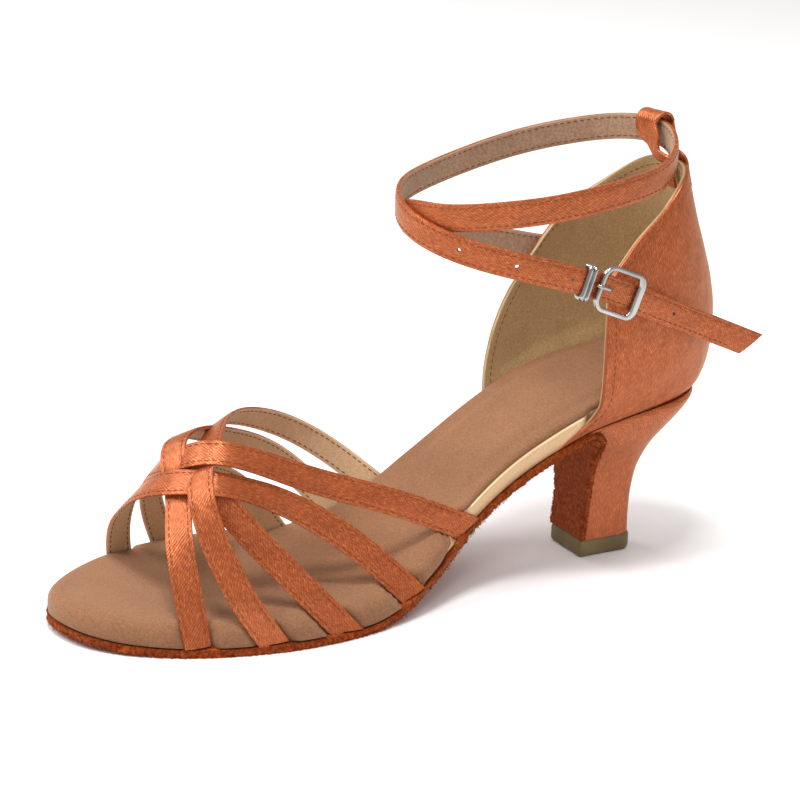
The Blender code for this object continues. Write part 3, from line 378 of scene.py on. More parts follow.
SUEDE_STATIONS = 260
SUEDE_ACROSS = 13
SUEDE_BREAST = 33
SUEDE_FALLS = 40
SUEDE_SPREAD = 0.0002
SUEDE_LIFT = 0.00002
SUEDE_OVER = 0.0003
SUEDE_BLEND = 0.85
# point of a ring at a cut edge, its neighbour
SUEDE_EDGES = ((0, 1), (12, 11), (13, 14), (25, 24))
# strength, scale
CUT_FUZZ = (0.00075, 900)
RIM_FUZZ = (0.0003, 400)
FUZZ_RISE = 0.35

FIBRE_SEED = 7
FIBRES = 5
FIBRE_ROOT = 0.0002
FIBRE_OUT = (0.5, 1.2)
FIBRE_ALONG = 0.7
FIBRE_UP = 0.35
FIBRE_LONG = (0.0005, 0.0014)
FIBRE_THIN = (0.00006, 0.00013)
FIBRE_MIDDLE = 0.55
FIBRE_BEND = 0.00012
FIBRE_LIFT = 0.00001

HEEL_SKIN = 0.0001
HEEL_BREAST = 40
HEEL_FALLS = 24
HEEL_SEAM = 0.00005
HEEL_FRONT_END = 0.985
HEEL_RINGS = 64
HEEL_RINGS_END = 0.96
HEEL_TOP_SHARES = (0.975, 0.988, 0.996, 1.0)
HEEL_SOFT = 0.0009
HEEL_SOFT_START = 0.965
HEEL_WIDE = 0.30
HEEL_WIDE_RISE = 0.24
HEEL_SIDE = 10
HEEL_ROUND = 61
HEEL_UV_HEIGHT = 0.046

TIP_CORNER_POINTS = 13
# height, inset
TIP_LEVELS = (
    (0, 0.0011),
    (0.0003, 0.0005),
    (0.0010, 0.0001),
    (0.0020, 0.0),
    (TIP_HEIGHT - 0.0009, 0.0),
    (TIP_HEIGHT - 0.0004, 0.0001),
    (TIP_HEIGHT, 0.0004),
)

CUP_TURNS = 141
CUP_EASE = 0.35
CUP_SHARES = 47
CUP_LOW_SHARES = (0, 0.003, 0.007, 0.012, 0.019)
CUP_UNDER = 0.42
CUP_UNDER_END = 0.024
RIM_SMOOTHING = 9
# share of the way from the satin to the lining, rise
RIM_PROFILE = (
    (0.10, 0.00028),
    (0.30, 0.00044),
    (0.50, 0.00046),
    (0.62, 0.00036),
    (0.80, 0.00036),
    (0.95, 0.00020),
)
RIM_ZONES = [SATIN] * 3 + [CREAM] * 4
SEAM_INSET = 0.0030
SEAM_FIRST = 0.02
SEAM_LAST = 0.98
SEAM_POINTS = 420

BAR_SIDES = 14
BAR_SQUARENESS = 2.8
OUTLINE_STEP = 0.0008
BUCKLE_BROAD = 0.0006
BUCKLE_BROAD_START = 0.0034
PRONG_POINTS = 46
PRONG_TAPER = 0.35
PRONG_TAPER_START = 30
# distance from the near bar, share of the turn's height
PRONG_FALL = ((0.0016, 0.88), (0.0030, 0.62))
# place from the frame's middle, height over the strap
PRONG_TIP = ((-0.0046, 0.0010), (-0.0036, 0.0006), (-0.0031, 0.0001))
KEEPER_VALLEY = 0.25
ANKLE_POINTS = 460
HOLE_SHOWN = 0.42

VAMP_POINTS = 190
PRESSED_POINTS = 36
LOOP_POINTS = 110
TAB_POINTS = 30

# Satin colours for the twill's flecks; the light one is partly painted sparkle.
SATIN_DARK = (0.30, 0.054, 0.015)
SATIN_MID = (0.43, 0.088, 0.025)
SATIN_LIGHT = (0.68, 0.210, 0.072)

# name, dark, middle, light, pile, bump, sheen, sheen tint, mottle
NAPS = (
    ("cup_lining", (0.32, 0.195, 0.082), (0.44, 0.280, 0.130), (0.56, 0.38, 0.19),
     1500, 0.00008, 0.3, (1, 0.9, 0.7), 50),
    ("vamp_lining", (0.52, 0.33, 0.180), (0.68, 0.46, 0.270), (0.80, 0.57, 0.35),
     1600, 0.00010, 0.3, (1, 0.9, 0.7), 60),
    ("ankle_lining", (0.24, 0.135, 0.080), (0.37, 0.225, 0.145), (0.50, 0.33, 0.22),
     1100, 0.00016, 0.3, (1, 0.85, 0.7), 60),
    ("sock_cloth", (0.18, 0.080, 0.036), (0.26, 0.119, 0.058), (0.335, 0.165, 0.086),
     1500, 0.00012, 0.25, (1, 0.75, 0.55), 38),
    ("suede", (0.085, 0.009, 0.0006), (0.24, 0.034, 0.003), (0.54, 0.12, 0.015),
     900, 0.0004, 0.22, (1, 0.45, 0.16), 120),
)

# The camera's right, up and backward directions.
CAMERA_AXES = ((0.4868, 0.8729, 0.0331), (-0.2980, 0.1303, 0.9456), (0.8211, -0.4702, 0.3235))
CAMERA_PLACE = (0.6318, -0.4367, 0.3100)
# name, place, target, size, power
LAMPS = (
    ("key", (-0.35, -1.25, 1.20), (0, -0.07, 0.05), (0.7, 0.7), 13.5),
    ("top", (0.18, -0.26, 1.60), (0, -0.07, 0.05), (0.40, 0.40), 15.5),
    ("front", (0.85, -0.40, 1.30), (0, -0.07, 0.05), (0.45, 0.45), 4),
    ("glint", (-1.05, -0.45, 1.05), (0, -0.10, 0.05), (0.30, 1.0), 5),
)
# name, dark, light
EDGES = (
    ("pale_edge", (0.62, 0.45, 0.29), (0.78, 0.61, 0.43)),
    ("ankle_edge", (0.30, 0.19, 0.115), (0.44, 0.30, 0.19)),
    ("cup_edge", (0.34, 0.25, 0.120), (0.48, 0.37, 0.20)),
)

STRAP_SHOWN = 0.00100
TAIL_SLANT = 0.009
GOLD = (0.66, 0.42, 0.235)


def unit(rows):
    """The direction of a vector, or of each row of vectors."""
    rows = np.asarray(rows, float)
    return rows / np.linalg.norm(rows, axis=-1, keepdims=True)


def walked(path):
    """The length walked along a path up to each of its points."""
    return np.concatenate([[0], np.cumsum(np.linalg.norm(np.diff(path, axis=0), axis=1))])


def at_length(value, lengths, rows):
    """What the rows along a path come to at one length along it."""
    return np.array([np.interp(value, lengths, rows[:, i]) for i in range(3)])


def spline(xs, ys):
    """A natural cubic spline through the points."""
    xs = np.asarray(xs, float)
    ys = np.asarray(ys, float)
    steps = np.diff(xs)
    slopes = np.diff(ys) / steps
    system = np.eye(len(xs))
    right = np.zeros(len(xs))
    for i in range(1, len(xs) - 1):
        system[i, i - 1 : i + 2] = steps[i - 1], 2 * (steps[i - 1] + steps[i]), steps[i]
        right[i] = 6 * (slopes[i] - slopes[i - 1])
    bends = np.linalg.solve(system, right)

    def value(x):
        i = np.clip(np.searchsorted(xs, x) - 1, 0, len(steps) - 1)
        before = xs[i + 1] - x
        after = x - xs[i]
        step = steps[i]
        cubic = (bends[i] * before**3 + bends[i + 1] * after**3) / (6 * step)
        left = ys[i] / step - bends[i] * step / 6
        return cubic + left * before + (ys[i + 1] / step - bends[i + 1] * step / 6) * after

    return value


def even(xs, ys):
    """A curve through the points that never swings past them, so that what is flat stays flat."""
    xs = np.asarray(xs, float)
    ys = np.asarray(ys, float)
    steps = np.diff(xs)
    slopes = np.diff(ys) / steps
    tangents = np.zeros(len(xs))
    same_way = slopes[:-1] * slopes[1:] > 0
    weight_1 = 2 * steps[1:] + steps[:-1]
    weight_2 = steps[1:] + 2 * steps[:-1]
    product = np.where(same_way, slopes[:-1] * slopes[1:], 0.0)
    weighted = np.where(same_way, weight_1 * slopes[1:] + weight_2 * slopes[:-1], 1.0)
    tangents[1:-1] = (weight_1 + weight_2) * product / weighted
    tangents[0] = slopes[0]
    tangents[-1] = slopes[-1]

    def value(x):
        x = np.clip(x, xs[0], xs[-1])
        i = np.clip(np.searchsorted(xs, x) - 1, 0, len(steps) - 1)
        t = (x - xs[i]) / steps[i]
        rise = ys[i] * (1 + 2 * t) * (1 - t) ** 2 + ys[i + 1] * t * t * (3 - 2 * t)
        return rise + steps[i] * (tangents[i] * t * (1 - t) ** 2 - tangents[i + 1] * t * t * (1 - t))

    return value


def through(lengths, rows, at, curve):
    """Points of a curve that goes through the rows, at lengths along it."""
    return np.stack([curve(lengths, rows[:, i])(at) for i in range(3)], -1)


def column(table, index):
    """One column of a table."""
    return np.array([row[index] for row in table], float)


def turned(station):
    """The angle that spreads the stations evenly round the blunt ends of the sole."""
    return np.arccos(np.clip(1 - 2 * np.asarray(station, float), -1, 1))


_lateral = spline(turned(column(SOLE_OUTLINE, 0)), column(SOLE_OUTLINE, 1) * BALL_WIDTH)
_medial = spline(turned(column(SOLE_OUTLINE, 0)), column(SOLE_OUTLINE, 2) * BALL_WIDTH)
_rise = even(column(SOLE_PROFILE, 0), column(SOLE_PROFILE, 1) * SEAT_RISE)


def station_y(station):
    """How far along the foot a station lies."""
    return SEAT_BACK - LENGTH * np.asarray(station, float)


def y_station(y):
    """The station at a place along the foot."""
    return (SEAT_BACK - np.asarray(y, float)) / LENGTH


def lateral(station):
    """The x of the sole's lateral edge."""
    return _lateral(turned(station))


def medial(station):
    """The x of the sole's medial edge."""
    return _medial(turned(station))


def slope(y):
    """How steeply the underside rises along the foot."""
    return (_rise(y_station(y + SLOPE_STEP)) - _rise(y_station(y - SLOPE_STEP))) / (2 * SLOPE_STEP)


def arch(x, y):
    """The lift of the sole's medial edge along the arch."""
    along = np.exp(-(((y_station(y) - ARCH_STATION) / ARCH_SPREAD) ** 2))
    fade = np.clip((ARCH_END - y_station(y)) / ARCH_FADE, 0, 1) * np.clip(y_station(y) / ARCH_START, 0, 1)
    inner_side = np.clip(-np.asarray(x, float) / (ARCH_REACH * BALL_WIDTH), 0, ARCH_MOST) ** 2
    return ARCH_LIFT * along * fade * inner_side


def sole_top(x, y):
    """The upper face of the outsole, and of the heel block behind it."""
    return _rise(y_station(y)) + OUTSOLE * np.sqrt(1 + slope(y) ** 2) + arch(x, y)


def edge_points(stations, inset):
    """The sole's edge moved inwards by inset: the lateral and the medial side, one point a station."""
    stations = np.asarray(stations, float)
    inset = np.broadcast_to(inset, stations.shape)
    sides = []
    for side, inward in ((lateral, -1), (medial, 1)):
        angle = turned(stations)
        low = np.clip(angle - EDGE_NUDGE, 0, math.pi)
        high = np.clip(angle + EDGE_NUDGE, 0, math.pi)
        s_low = (1 - np.cos(low)) / 2
        s_high = (1 - np.cos(high)) / 2
        dx = side(s_high) - side(s_low)
        dy = station_y(s_high) - station_y(s_low)
        length = np.hypot(dx, dy)
        x = side(stations) - inward * inset * dy / length
        y = station_y(stations) + inward * inset * dx / length
        sides.append(np.stack([x, y], -1))
    return sides


def spread_stations(first, last, count):
    """Stations packed towards the blunt ends of the sole."""
    angles = np.linspace(turned(first), turned(last), count)
    return (1 - np.cos(angles)) / 2


def ramp(values, start, end):
    """0 before start, 1 after end and a smooth rise between."""
    share = np.clip((np.asarray(values, float) - start) / (end - start), 0, 1)
    return share * share * (3 - 2 * share)


def board_height(stations):
    """The board's thickness: full under the arch and heel, a thin tongue at its front end."""
    return BOARD_TONGUE + (BOARD - BOARD_TONGUE) * (1 - ramp(stations, BOARD_FULL, BOARD_FRONT - LIP))


def breast_arc():
    """The centre of the curve where the outsole turns down the heel, with the y and angle of its start."""
    front = -TIP_DEPTH / 2
    start_y = front - BREAST_RADIUS
    for _ in range(ROUNDS):
        angle = math.atan(slope(start_y))
        start_y = front - BREAST_RADIUS - BREAST_RADIUS * math.sin(angle)
    angle = math.atan(slope(start_y))
    start_z = float(sole_top(0.0, start_y)) - OUTSOLE / math.cos(angle)
    centre = (start_y + BREAST_RADIUS * math.sin(angle), start_z - BREAST_RADIUS * math.cos(angle))
    return centre, start_y, angle


def breast_path(depth, steps, falls):
    """Points (y, z) that lie depth behind the visible face of the breast, from its top to the tip."""
    centre, _, start = breast_arc()
    points = []
    for angle in np.linspace(start, -math.pi / 2, steps):
        reach = BREAST_RADIUS + depth
        points.append((centre[0] - reach * math.sin(angle), centre[1] + reach * math.cos(angle)))
    low = TIP_HEIGHT + GAP
    for share in np.linspace(0, 1, falls)[1:]:
        z = centre[1] + (low - centre[1]) * share
        bow = BREAST_BOW * math.sin(math.pi * share)
        points.append((-TIP_DEPTH / 2 + depth + bow, z))
    return points


def heel_share(y, z):
    """How high a point of the heel block lies, as a share of its height there."""
    low = TIP_HEIGHT + GAP
    return (z - low) / (float(sole_top(0.0, y)) - low)


def heel_curve(index, scale):
    """A column of HEEL_SECTIONS as a curve over the heel's height, in metres."""
    return even(column(HEEL_SECTIONS, 0), column(HEEL_SECTIONS, index) * scale)


def breast_half_width(y, z):
    """Half the width of the heel's front face."""
    return float(heel_curve(2, TIP_WIDTH)(min(heel_share(y, z), 1.0)))


def squared(angle, power):
    """The cosine and sine of a superellipse."""
    c, s = math.cos(angle), math.sin(angle)
    return (math.copysign(abs(c) ** (2 / power), c), math.copysign(abs(s) ** (2 / power), s))


def counter_point(turn, share, depth=0.0):
    """A point of the counter, depth inside its outer face. Turn runs from -1, its lateral front edge,
    round the back to 1, its medial one, and share from its seam up to its top line."""
    table = COUNTER_SECTIONS
    heights = column(table, 0)
    edge_index = 3 if turn < 0 else 4
    edge_y = float(even(heights, column(table, edge_index) * SEAT_BACK)(share))
    half = float(even(heights, column(table, 2) * COUNTER_WIDTH)(share)) - depth
    back = float(even(heights, column(table, 1) * SEAT_BACK)(share)) - COUNTER_MIDDLE_Y - depth
    reach = COUNTER_REACH
    edge_angle = math.pi / 2 + math.asin(min((COUNTER_MIDDLE_Y - edge_y) / reach, COUNTER_MOST))
    angle = abs(turn) * edge_angle
    side = 1 if turn < 0 else -1
    bend = back if angle < math.pi / 2 else reach
    flare = 0.0 if turn < 0 else float(MEDIAL_FLARE * ramp(math.degrees(angle), *FLARE_TURN))
    x = COUNTER_MIDDLE_X + side * (half * math.sin(angle) + flare)
    y = COUNTER_MIDDLE_Y + bend * math.cos(angle)
    y_outer = y + (depth * math.cos(angle) if angle < math.pi / 2 else 0.0)
    # At the seam the wall stands on the sole's own outline.
    on_sole = (lateral if turn < 0 else medial)(float(y_station(y)))
    hold = ramp(math.degrees(angle), *SEAM_TURN) * (1 - ramp(share, 0.0, SEAM_HOLD))
    x += (float(on_sole) - side * depth - x) * float(hold)
    seam = float(sole_top(x, y)) + GAP
    line = column(COUNTER_TOPLINE, 1 if turn < 0 else 2) * COUNTER_TOP
    top = float(even(column(COUNTER_TOPLINE, 0) * SEAT_BACK, line)(y_outer))
    return np.array([x, y, seam + share * (top - seam)])


def counter_side(side, y, z):
    """The x of the counter's outer face at a height and a place along the foot."""
    shares = np.linspace(0, 1, SEARCH_STEPS)
    grid = [counter_point(side * turn, share) for turn in shares for share in shares]
    return min(grid, key=lambda p: math.hypot(p[1] - y, p[2] - z))[0]


def knot_places():
    """The four crossings of the knot, the places of the strap under it, and its normal."""
    centre = np.array([KNOT_X, float(station_y(KNOT_STATION)), KNOT_HEIGHT])
    rear = np.array([0, math.cos(KNOT_SLOPE), math.sin(KNOT_SLOPE)])
    side = np.array([math.cos(KNOT_ROLL), 0, -math.sin(KNOT_ROLL)])
    side = unit(side - rear * side.dot(rear))
    places = {
        "front": centre - rear * KNOT_HALF_LENGTH,
        "rear": centre + rear * KNOT_HALF_LENGTH,
        "lateral": centre + side * KNOT_HALF_WIDTH,
        "medial": centre - side * KNOT_HALF_WIDTH,
        "low_lateral": centre + side * KNOT_HALF_WIDTH / 2,
        "low_medial": centre - side * KNOT_HALF_WIDTH / 2,
    }
    return places, np.cross(side, rear)


def strap_foot(side, station):
    """Where a strap stands on the outsole, beside the footbed."""
    y = float(station_y(station))
    x = float((lateral if side > 0 else medial)(station)) - side * STRAP_SINK
    return np.array([x, y, float(sole_top(x, y)) + GAP])


def strap_bow(foot, place, bulge, sweep):
    """Two points between a strap's foot and the knot, bowed out and towards the toe."""
    chord = place - foot
    run = unit(chord)
    out = np.array([math.copysign(1, foot[0]), 0, 1.0])
    out = unit(out - run * out.dot(run))
    forward = np.array([0, -1.0, 0])
    forward = unit(forward - (run * forward.dot(run) + out * forward.dot(out)))
    bulge *= KNOT_HEIGHT
    sweep *= KNOT_HEIGHT
    return [
        foot + chord * up + out * bulge * outward + forward * sweep * ahead
        for up, outward, ahead in STRAP_BOW
    ]


def strap_path(row):
    """The centre line of a vamp strap, with its normals."""
    _, station_l, bulge_l, sweep_l, place_1, layer_1, place_2, layer_2, bulge_m, sweep_m, station_m = row
    places, knot_normal = knot_places()
    foot_l = strap_foot(1, station_l)
    foot_m = strap_foot(-1, station_m)
    low_l, high_l = strap_bow(foot_l, places[place_1], bulge_l, sweep_l)
    low_m, high_m = strap_bow(foot_m, places[place_2], bulge_m, sweep_m)
    over_1 = places[place_1] + knot_normal * WEAVE * layer_1
    over_2 = places[place_2] + knot_normal * WEAVE * layer_2
    marks = np.array([foot_l, low_l, high_l, over_1, over_2, high_m, low_m, foot_m])
    ways = np.array([(1.0, 0, STRAP_LEAN), (-1.0, 0, STRAP_LEAN), knot_normal])
    facings = np.array(STRAP_FACINGS) @ ways
    lengths = walked(marks)
    along = np.linspace(0, lengths[-1], VAMP_STEPS)
    return through(lengths, marks, along, spline), through(lengths, facings, along, even)


def trim_to_sole(ring, run):
    """The points of a strap's end section, moved along the strap onto the outsole."""
    run = unit(run)
    moved = []
    for point in ring:
        for _ in range(ROUNDS):
            short = float(sole_top(point[0], point[1])) + 2 * GAP - point[2]
            point = point + run * short / (run[2] - float(slope(point[1])) * run[1])
        moved.append(point)
    return np.array(moved)


def ankle_point(turn, layer):
    """The place of a turn of the ankle strap, seen from above."""
    angle = math.radians(turn)
    out = ANKLE_LAYER * layer
    x = ANKLE_MIDDLE_X + (ANKLE_HALF_WIDTH + out) * math.sin(angle)
    y = ANKLE_MIDDLE_Y - (ANKLE_HALF_DEPTH + out) * math.cos(angle)
    return x, y


def ankle_path():
    """The centre line and the outward normals of the ankle strap, from its sewn end to its cut tail."""
    rows = []
    for y, height in SEWN_END:
        y *= COUNTER_TOP
        z = height * COUNTER_TOP
        rows.append((counter_side(1, y, z) - 3 * GAP - STRAP / 2, y, z))
    for turn, height, layer in ANKLE_TURNS:
        x, y = ankle_point(turn, layer)
        rows.append((x, y, height * COLLAR))
    last = np.array(rows[-1])
    end = np.array([last[0] - TAIL_IN, TAIL_END_Y, TAIL_END_Z])
    for share in TAIL_SHARES:
        rows.append(last + (end - last) * share)
    rows = np.array(rows)
    lengths = walked(rows)
    along = np.linspace(0, lengths[-1], STRAP_STEPS)
    path = through(lengths, rows, along, spline)
    return path, unit(np.cross(np.gradient(path, axis=0), [0, 0, 1.0])), along


def tail_place(distance):
    """A place on the tail's straight line: its point and its axes along, across and out. Distance is
    measured from BUCKLE_AHEAD before the last row of ANKLE_TURNS, where the buckle lies."""
    path, normals, along = ankle_path()
    last_turn, last_height, last_layer = ANKLE_TURNS[-1]
    x, y = ankle_point(last_turn, last_layer)
    near = np.linalg.norm(path - np.array([x, y, last_height * COLLAR]), axis=1)
    at = along[int(np.argmin(near))] - BUCKLE_AHEAD + distance
    tangent = unit(at_length(at, along, np.gradient(path, axis=0)))
    return (at_length(at, along, path), *frame_at(at_length(at, along, normals), tangent))


def frame_at(normal, along):
    """Three unit axes: along, across and out."""
    out = unit(normal)
    side = unit(np.cross(out, along))
    return np.cross(side, out), side, out


def rounded_frame(centre, u, v, length, width, corner, steps):
    """Points round a rectangle with round corners."""
    points = []
    for turn, (a, b) in enumerate(((1, 1), (-1, 1), (-1, -1), (1, -1))):
        for step in range(steps + 1):
            angle = math.pi / 2 * (turn + step / steps)
            x = a * (length / 2 - corner) + corner * math.cos(angle)
            y = b * (width / 2 - corner) + corner * math.sin(angle)
            points.append(centre + u * x + v * y)
    return points


def loop_path():
    """The centre line and normals of the loop on the counter's top edge. Both its legs hold the
    wall, and its eye holds the strap."""
    outer_y = counter_point(LOOP_TURN, 1.0)[1] + 2 * GAP + STRAP / 2
    inner_y = counter_point(LOOP_TURN, 1.0, WALL)[1] - GAP - STRAP / 2 - LOOP_SAG
    x, _, top = counter_point(LOOP_TURN, 1.0)
    lower = counter_point(LOOP_TURN, COUNTER_LEVELS[-2])
    wall_lean = (lower[1] - counter_point(LOOP_TURN, 1.0)[1]) / (top - lower[2])
    eye_x = x + LOOP_LEAN
    path, _, _ = ankle_path()
    half_turn = path[: STRAP_STEPS // 2]
    nearest = int(np.argmin(np.hypot(half_turn[:, 0] - eye_x, half_turn[:, 1] - inner_y)))
    eye = half_turn[nearest]
    strap_run = half_turn[nearest - 1] - half_turn[nearest + 1]
    strap_run *= [1, 1, 0] / np.linalg.norm(strap_run)
    crown = LOOP_TOP - STRAP / 2 - LOOP_EYE
    drops = LOOP_LEG * np.linspace(1, 0, LOOP_LEG_STEPS)
    points = [(x, outer_y + wall_lean * drop, top - drop) for drop in drops]
    neck = top + LOOP_NECK
    shoulder = (top + crown) / 2 + LOOP_SHOULDER
    points.append((x + LOOP_LEAN / 3, eye[1] + LOOP_EYE + LOOP_OUT, neck))
    points.append((x + LOOP_LEAN * 2 / 3, eye[1] + LOOP_EYE, shoulder))
    for angle in np.linspace(0, math.pi, LOOP_EYE_STEPS):
        points.append((eye_x, eye[1] + LOOP_EYE * math.cos(angle), crown + LOOP_EYE * math.sin(angle)))
    points.append((x + LOOP_LEAN * 2 / 3, eye[1] - LOOP_EYE, shoulder))
    points.append((x + LOOP_LEAN / 3, eye[1] - LOOP_EYE + LOOP_OUT, neck))
    points += [(x, inner_y + wall_lean * drop, top - drop) for drop in drops[::-1]]
    loop = np.array(points)
    # The legs lie flat on the wall and the eye turns to lie square to the strap.
    up = ramp(loop[:, 2], top, crown)[:, None]
    widths = np.array([1.0, 0, 0]) * (1 - up) + strap_run * up
    return loop, np.cross(widths, np.gradient(loop, axis=0))


def dense(path, normals, count):
    """The path and its normals through more points, evenly spaced."""
    lengths = walked(path)
    at = np.linspace(0, lengths[-1], count)
    return through(lengths, path, at, spline), unit(through(lengths, normals, at, spline))


def axes_along(path, normals):
    """Directions along a path, across it and out of it, from rough normals."""
    along = unit(np.gradient(path, axis=0))
    side = unit(np.cross(along, normals))
    return along, side, np.cross(side, along)


def smooth_mesh(name, points, faces, materials, slots=None, uvs=None, sharp=40):
    """One smooth piece from points and faces. slots gives each face its material, or all have the first."""
    mesh = bpy.data.meshes.new(name)
    mesh.from_pydata([tuple(p) for p in points], [], [tuple(int(v) for v in f) for f in faces])
    for material in materials:
        mesh.materials.append(material)
    mesh.polygons.foreach_set("material_index", np.asarray(slots or [0] * len(faces), np.int32))
    if uvs is not None:
        corners = np.empty(len(mesh.loops), np.int32)
        mesh.loops.foreach_get("vertex_index", corners)
        layer = mesh.uv_layers.new(name="UVMap")
        layer.data.foreach_set("uv", (np.asarray(uvs, float)[corners] * UV_PER_METRE).ravel())
    build = bmesh.new()
    build.from_mesh(mesh)
    bmesh.ops.recalc_face_normals(build, faces=build.faces)
    build.to_mesh(mesh)
    build.free()
    mesh.shade_smooth()
    mesh.set_sharp_from_angle(angle=math.radians(sharp))
    piece = bpy.data.objects.new(name, mesh)
    bpy.context.scene.collection.objects.link(piece)
    return piece


def ring_faces(count, size, closed=False):
    """The faces between rings of points, and from the last ring to the first where it is closed."""
    faces = []
    for i in range(count if closed else count - 1):
        j = (i + 1) % count
        for k in range(size):
            m = (k + 1) % size
            faces.append((i * size + k, i * size + m, j * size + m, j * size + k))
    return faces


def capped(count, size):
    """The faces between rings of points, with both ends closed."""
    ends = [tuple(range(size)), tuple((count - 1) * size + k for k in reversed(range(size)))]
    return ring_faces(count, size) + ends


def lofted(name, rings, material, uvs=None, sharp=40):
    """A closed piece of one material through rings of points."""
    points = np.array(rings).reshape(-1, 3)
    return smooth_mesh(name, points, capped(len(rings), len(rings[0])), [material], None, uvs, sharp)


def ribbon_section(width, thickness):
    """A strap's section as (across, out, zone): satin folded over both edges and a lining with a pale
    edge."""
    half = width / 2
    top = thickness / 2
    section = []
    for share in np.linspace(-1, 1, FACE_STEPS):
        across = share * (half - FACE_INSET)
        line = math.exp(-(((abs(across) - (half - STITCH_INSET)) / GROOVE_WIDTH) ** 2))
        crown = FACE_CROWN * (1 - share**2) - GROOVE_DEPTH * line
        section.append((across, top + crown - FACE_FALL * abs(share) ** 8, SATIN))
    section += [(half - inset, top * high - drop, zone) for inset, high, drop, zone, _ in RIBBON_EDGE]
    section += [(half * sign, -top - LINING_SAG, LINING) for sign in (0.5, -0.5)]
    section += [(inset - half, top * high - drop, zone) for inset, high, drop, _, zone in RIBBON_EDGE[::-1]]
    return section


def ribbon(name, path, normals, width, thickness, cloths, ends=(None, None), widths=None, reshape=None):
    """A dressed strap along a path. ends may move each end's ring of points, and reshape all the rings."""
    _, side, out = axes_along(path, normals)
    section = ribbon_section(width, thickness)
    widths = np.ones(len(path)) if widths is None else widths
    rings = np.array([
        [p + s * a * w + o * b for a, b, _ in section]
        for p, s, o, w in zip(path, side, out, widths)
    ])
    if ends[0] is not None:
        rings[0] = ends[0](rings[0], path[0] - path[1])
    if ends[1] is not None:
        rings[-1] = ends[1](rings[-1], path[-1] - path[-2])
    if reshape is not None:
        reshape(rings)
    uvs = [(a, v) for v in walked(path) for a, _, _ in section]
    slots = [zone for _, _, zone in section] * (len(path) - 1) + [SATIN, SATIN]
    return smooth_mesh(name, rings.reshape(-1, 3), capped(len(path), len(section)), cloths, slots, uvs)


def stitches(name, lines, material):
    """Sewn stitches along lines of (points, normals), each a small rounded bead of thread."""
    points = []
    faces = []
    bead = capped(len(STITCH_BEAD), STITCH_SIDES)
    for path, normals in lines:
        lengths = walked(path)
        for at in np.arange(STITCH_PITCH, lengths[-1] - STITCH_PITCH / 2, STITCH_PITCH):
            centre = at_length(at, lengths, path)
            ahead = unit(at_length(at + STITCH_AIM, lengths, path) - centre)
            side = unit(np.cross(at_length(at, lengths, normals), ahead))
            out = np.cross(ahead, side)
            base = len(points)
            for run, swell in STITCH_BEAD:
                for k in range(STITCH_SIDES):
                    angle = 2 * math.pi * k / STITCH_SIDES
                    across = side * math.cos(angle) * STITCH_WIDTH / 2 * swell
                    rise = out * (math.sin(angle) * STITCH_HEIGHT * swell)
                    points.append(centre + ahead * run * STITCH_LENGTH + across + rise)
            faces += [tuple(base + v for v in face) for face in bead]
    return smooth_mesh(name, points, faces, [material], sharp=80)


def strap_lines(path, normals, width, thickness, skip=3):
    """The two lines of stitching on a strap's face, and the two on its lining."""
    _, side, out = axes_along(path, normals)
    lines = []
    for level, facing in ((thickness / 2 - STITCH_SUNK, out), (-thickness / 2 - LINING_SAG, -out)):
        for sign in (-1, 1):
            offset = sign * (width / 2 - STITCH_INSET)
            lines.append(((path + side * offset + out * level)[skip:-skip], facing[skip:-skip]))
    return lines


def node(tree, kind, **values):
    """A shader node with its attributes and unlinked inputs set. An input's spaces are given as _."""
    made = tree.nodes.new(kind)
    for key, value in values.items():
        socket = key.replace("_", " ")
        if socket in made.inputs:
            made.inputs[socket].default_value = value
        else:
            setattr(made, key, value)
    return made


def material_of(name, colour, roughness, **sockets):
    """A material with its Principled shader's own values set, and the parts that its nodes join."""
    material = bpy.data.materials.new(name)
    material.use_nodes = True
    tree = material.node_tree
    shader = tree.nodes["Principled BSDF"]
    shader.inputs["Base Color"].default_value = (*colour, 1)
    shader.inputs["Roughness"].default_value = roughness
    for key, value in sockets.items():
        shader.inputs[key.replace("_", " ")].default_value = value
    return material, tree, shader


def placed(tree, source, scale, rotation=0.0):
    """Texture coordinates, scaled per metre, or per millimetre of a UV map, and turned."""
    coordinates = node(tree, "ShaderNodeTexCoord")
    mapping = node(tree, "ShaderNodeMapping", Rotation=(0, 0, rotation), Scale=scale)
    tree.links.new(coordinates.outputs[source], mapping.inputs["Vector"])
    return mapping.outputs["Vector"]


def grain(tree, vector, detail, rough):
    """Fine noise over placed coordinates."""
    noise = node(tree, "ShaderNodeTexNoise", Scale=1.0, Detail=detail, Roughness=rough)
    tree.links.new(vector, noise.inputs["Vector"])
    return noise.outputs["Fac"]


def blended(tree, fac, stops):
    """A colour ramp over a texture's value."""
    ramp_node = node(tree, "ShaderNodeValToRGB")
    ends = ramp_node.color_ramp.elements
    while len(ends) < len(stops):
        ends.new(0.5)
    for element, (position, colour) in zip(ends, stops):
        element.position = position
        element.color = (*colour, 1)
    tree.links.new(fac, ramp_node.inputs["Fac"])
    return ramp_node.outputs["Color"]


def mixed(tree, a, b, fac):
    """Two colours multiplied, by a share."""
    mix = node(tree, "ShaderNodeMix", data_type="RGBA", blend_type="MULTIPLY")
    mix.inputs["Factor"].default_value = fac
    tree.links.new(a, mix.inputs["A"])
    tree.links.new(b, mix.inputs["B"])
    return mix.outputs["Result"]


def bumped(tree, shader, layers):
    """Bump from several heights: each is (value, strength, distance)."""
    normal = None
    for value, strength, distance in layers:
        bump = node(tree, "ShaderNodeBump", Strength=strength, Distance=distance)
        tree.links.new(value, bump.inputs["Height"])
        if normal is not None:
            tree.links.new(normal, bump.inputs["Normal"])
        normal = bump.outputs["Normal"]
    tree.links.new(normal, shader.inputs["Normal"])


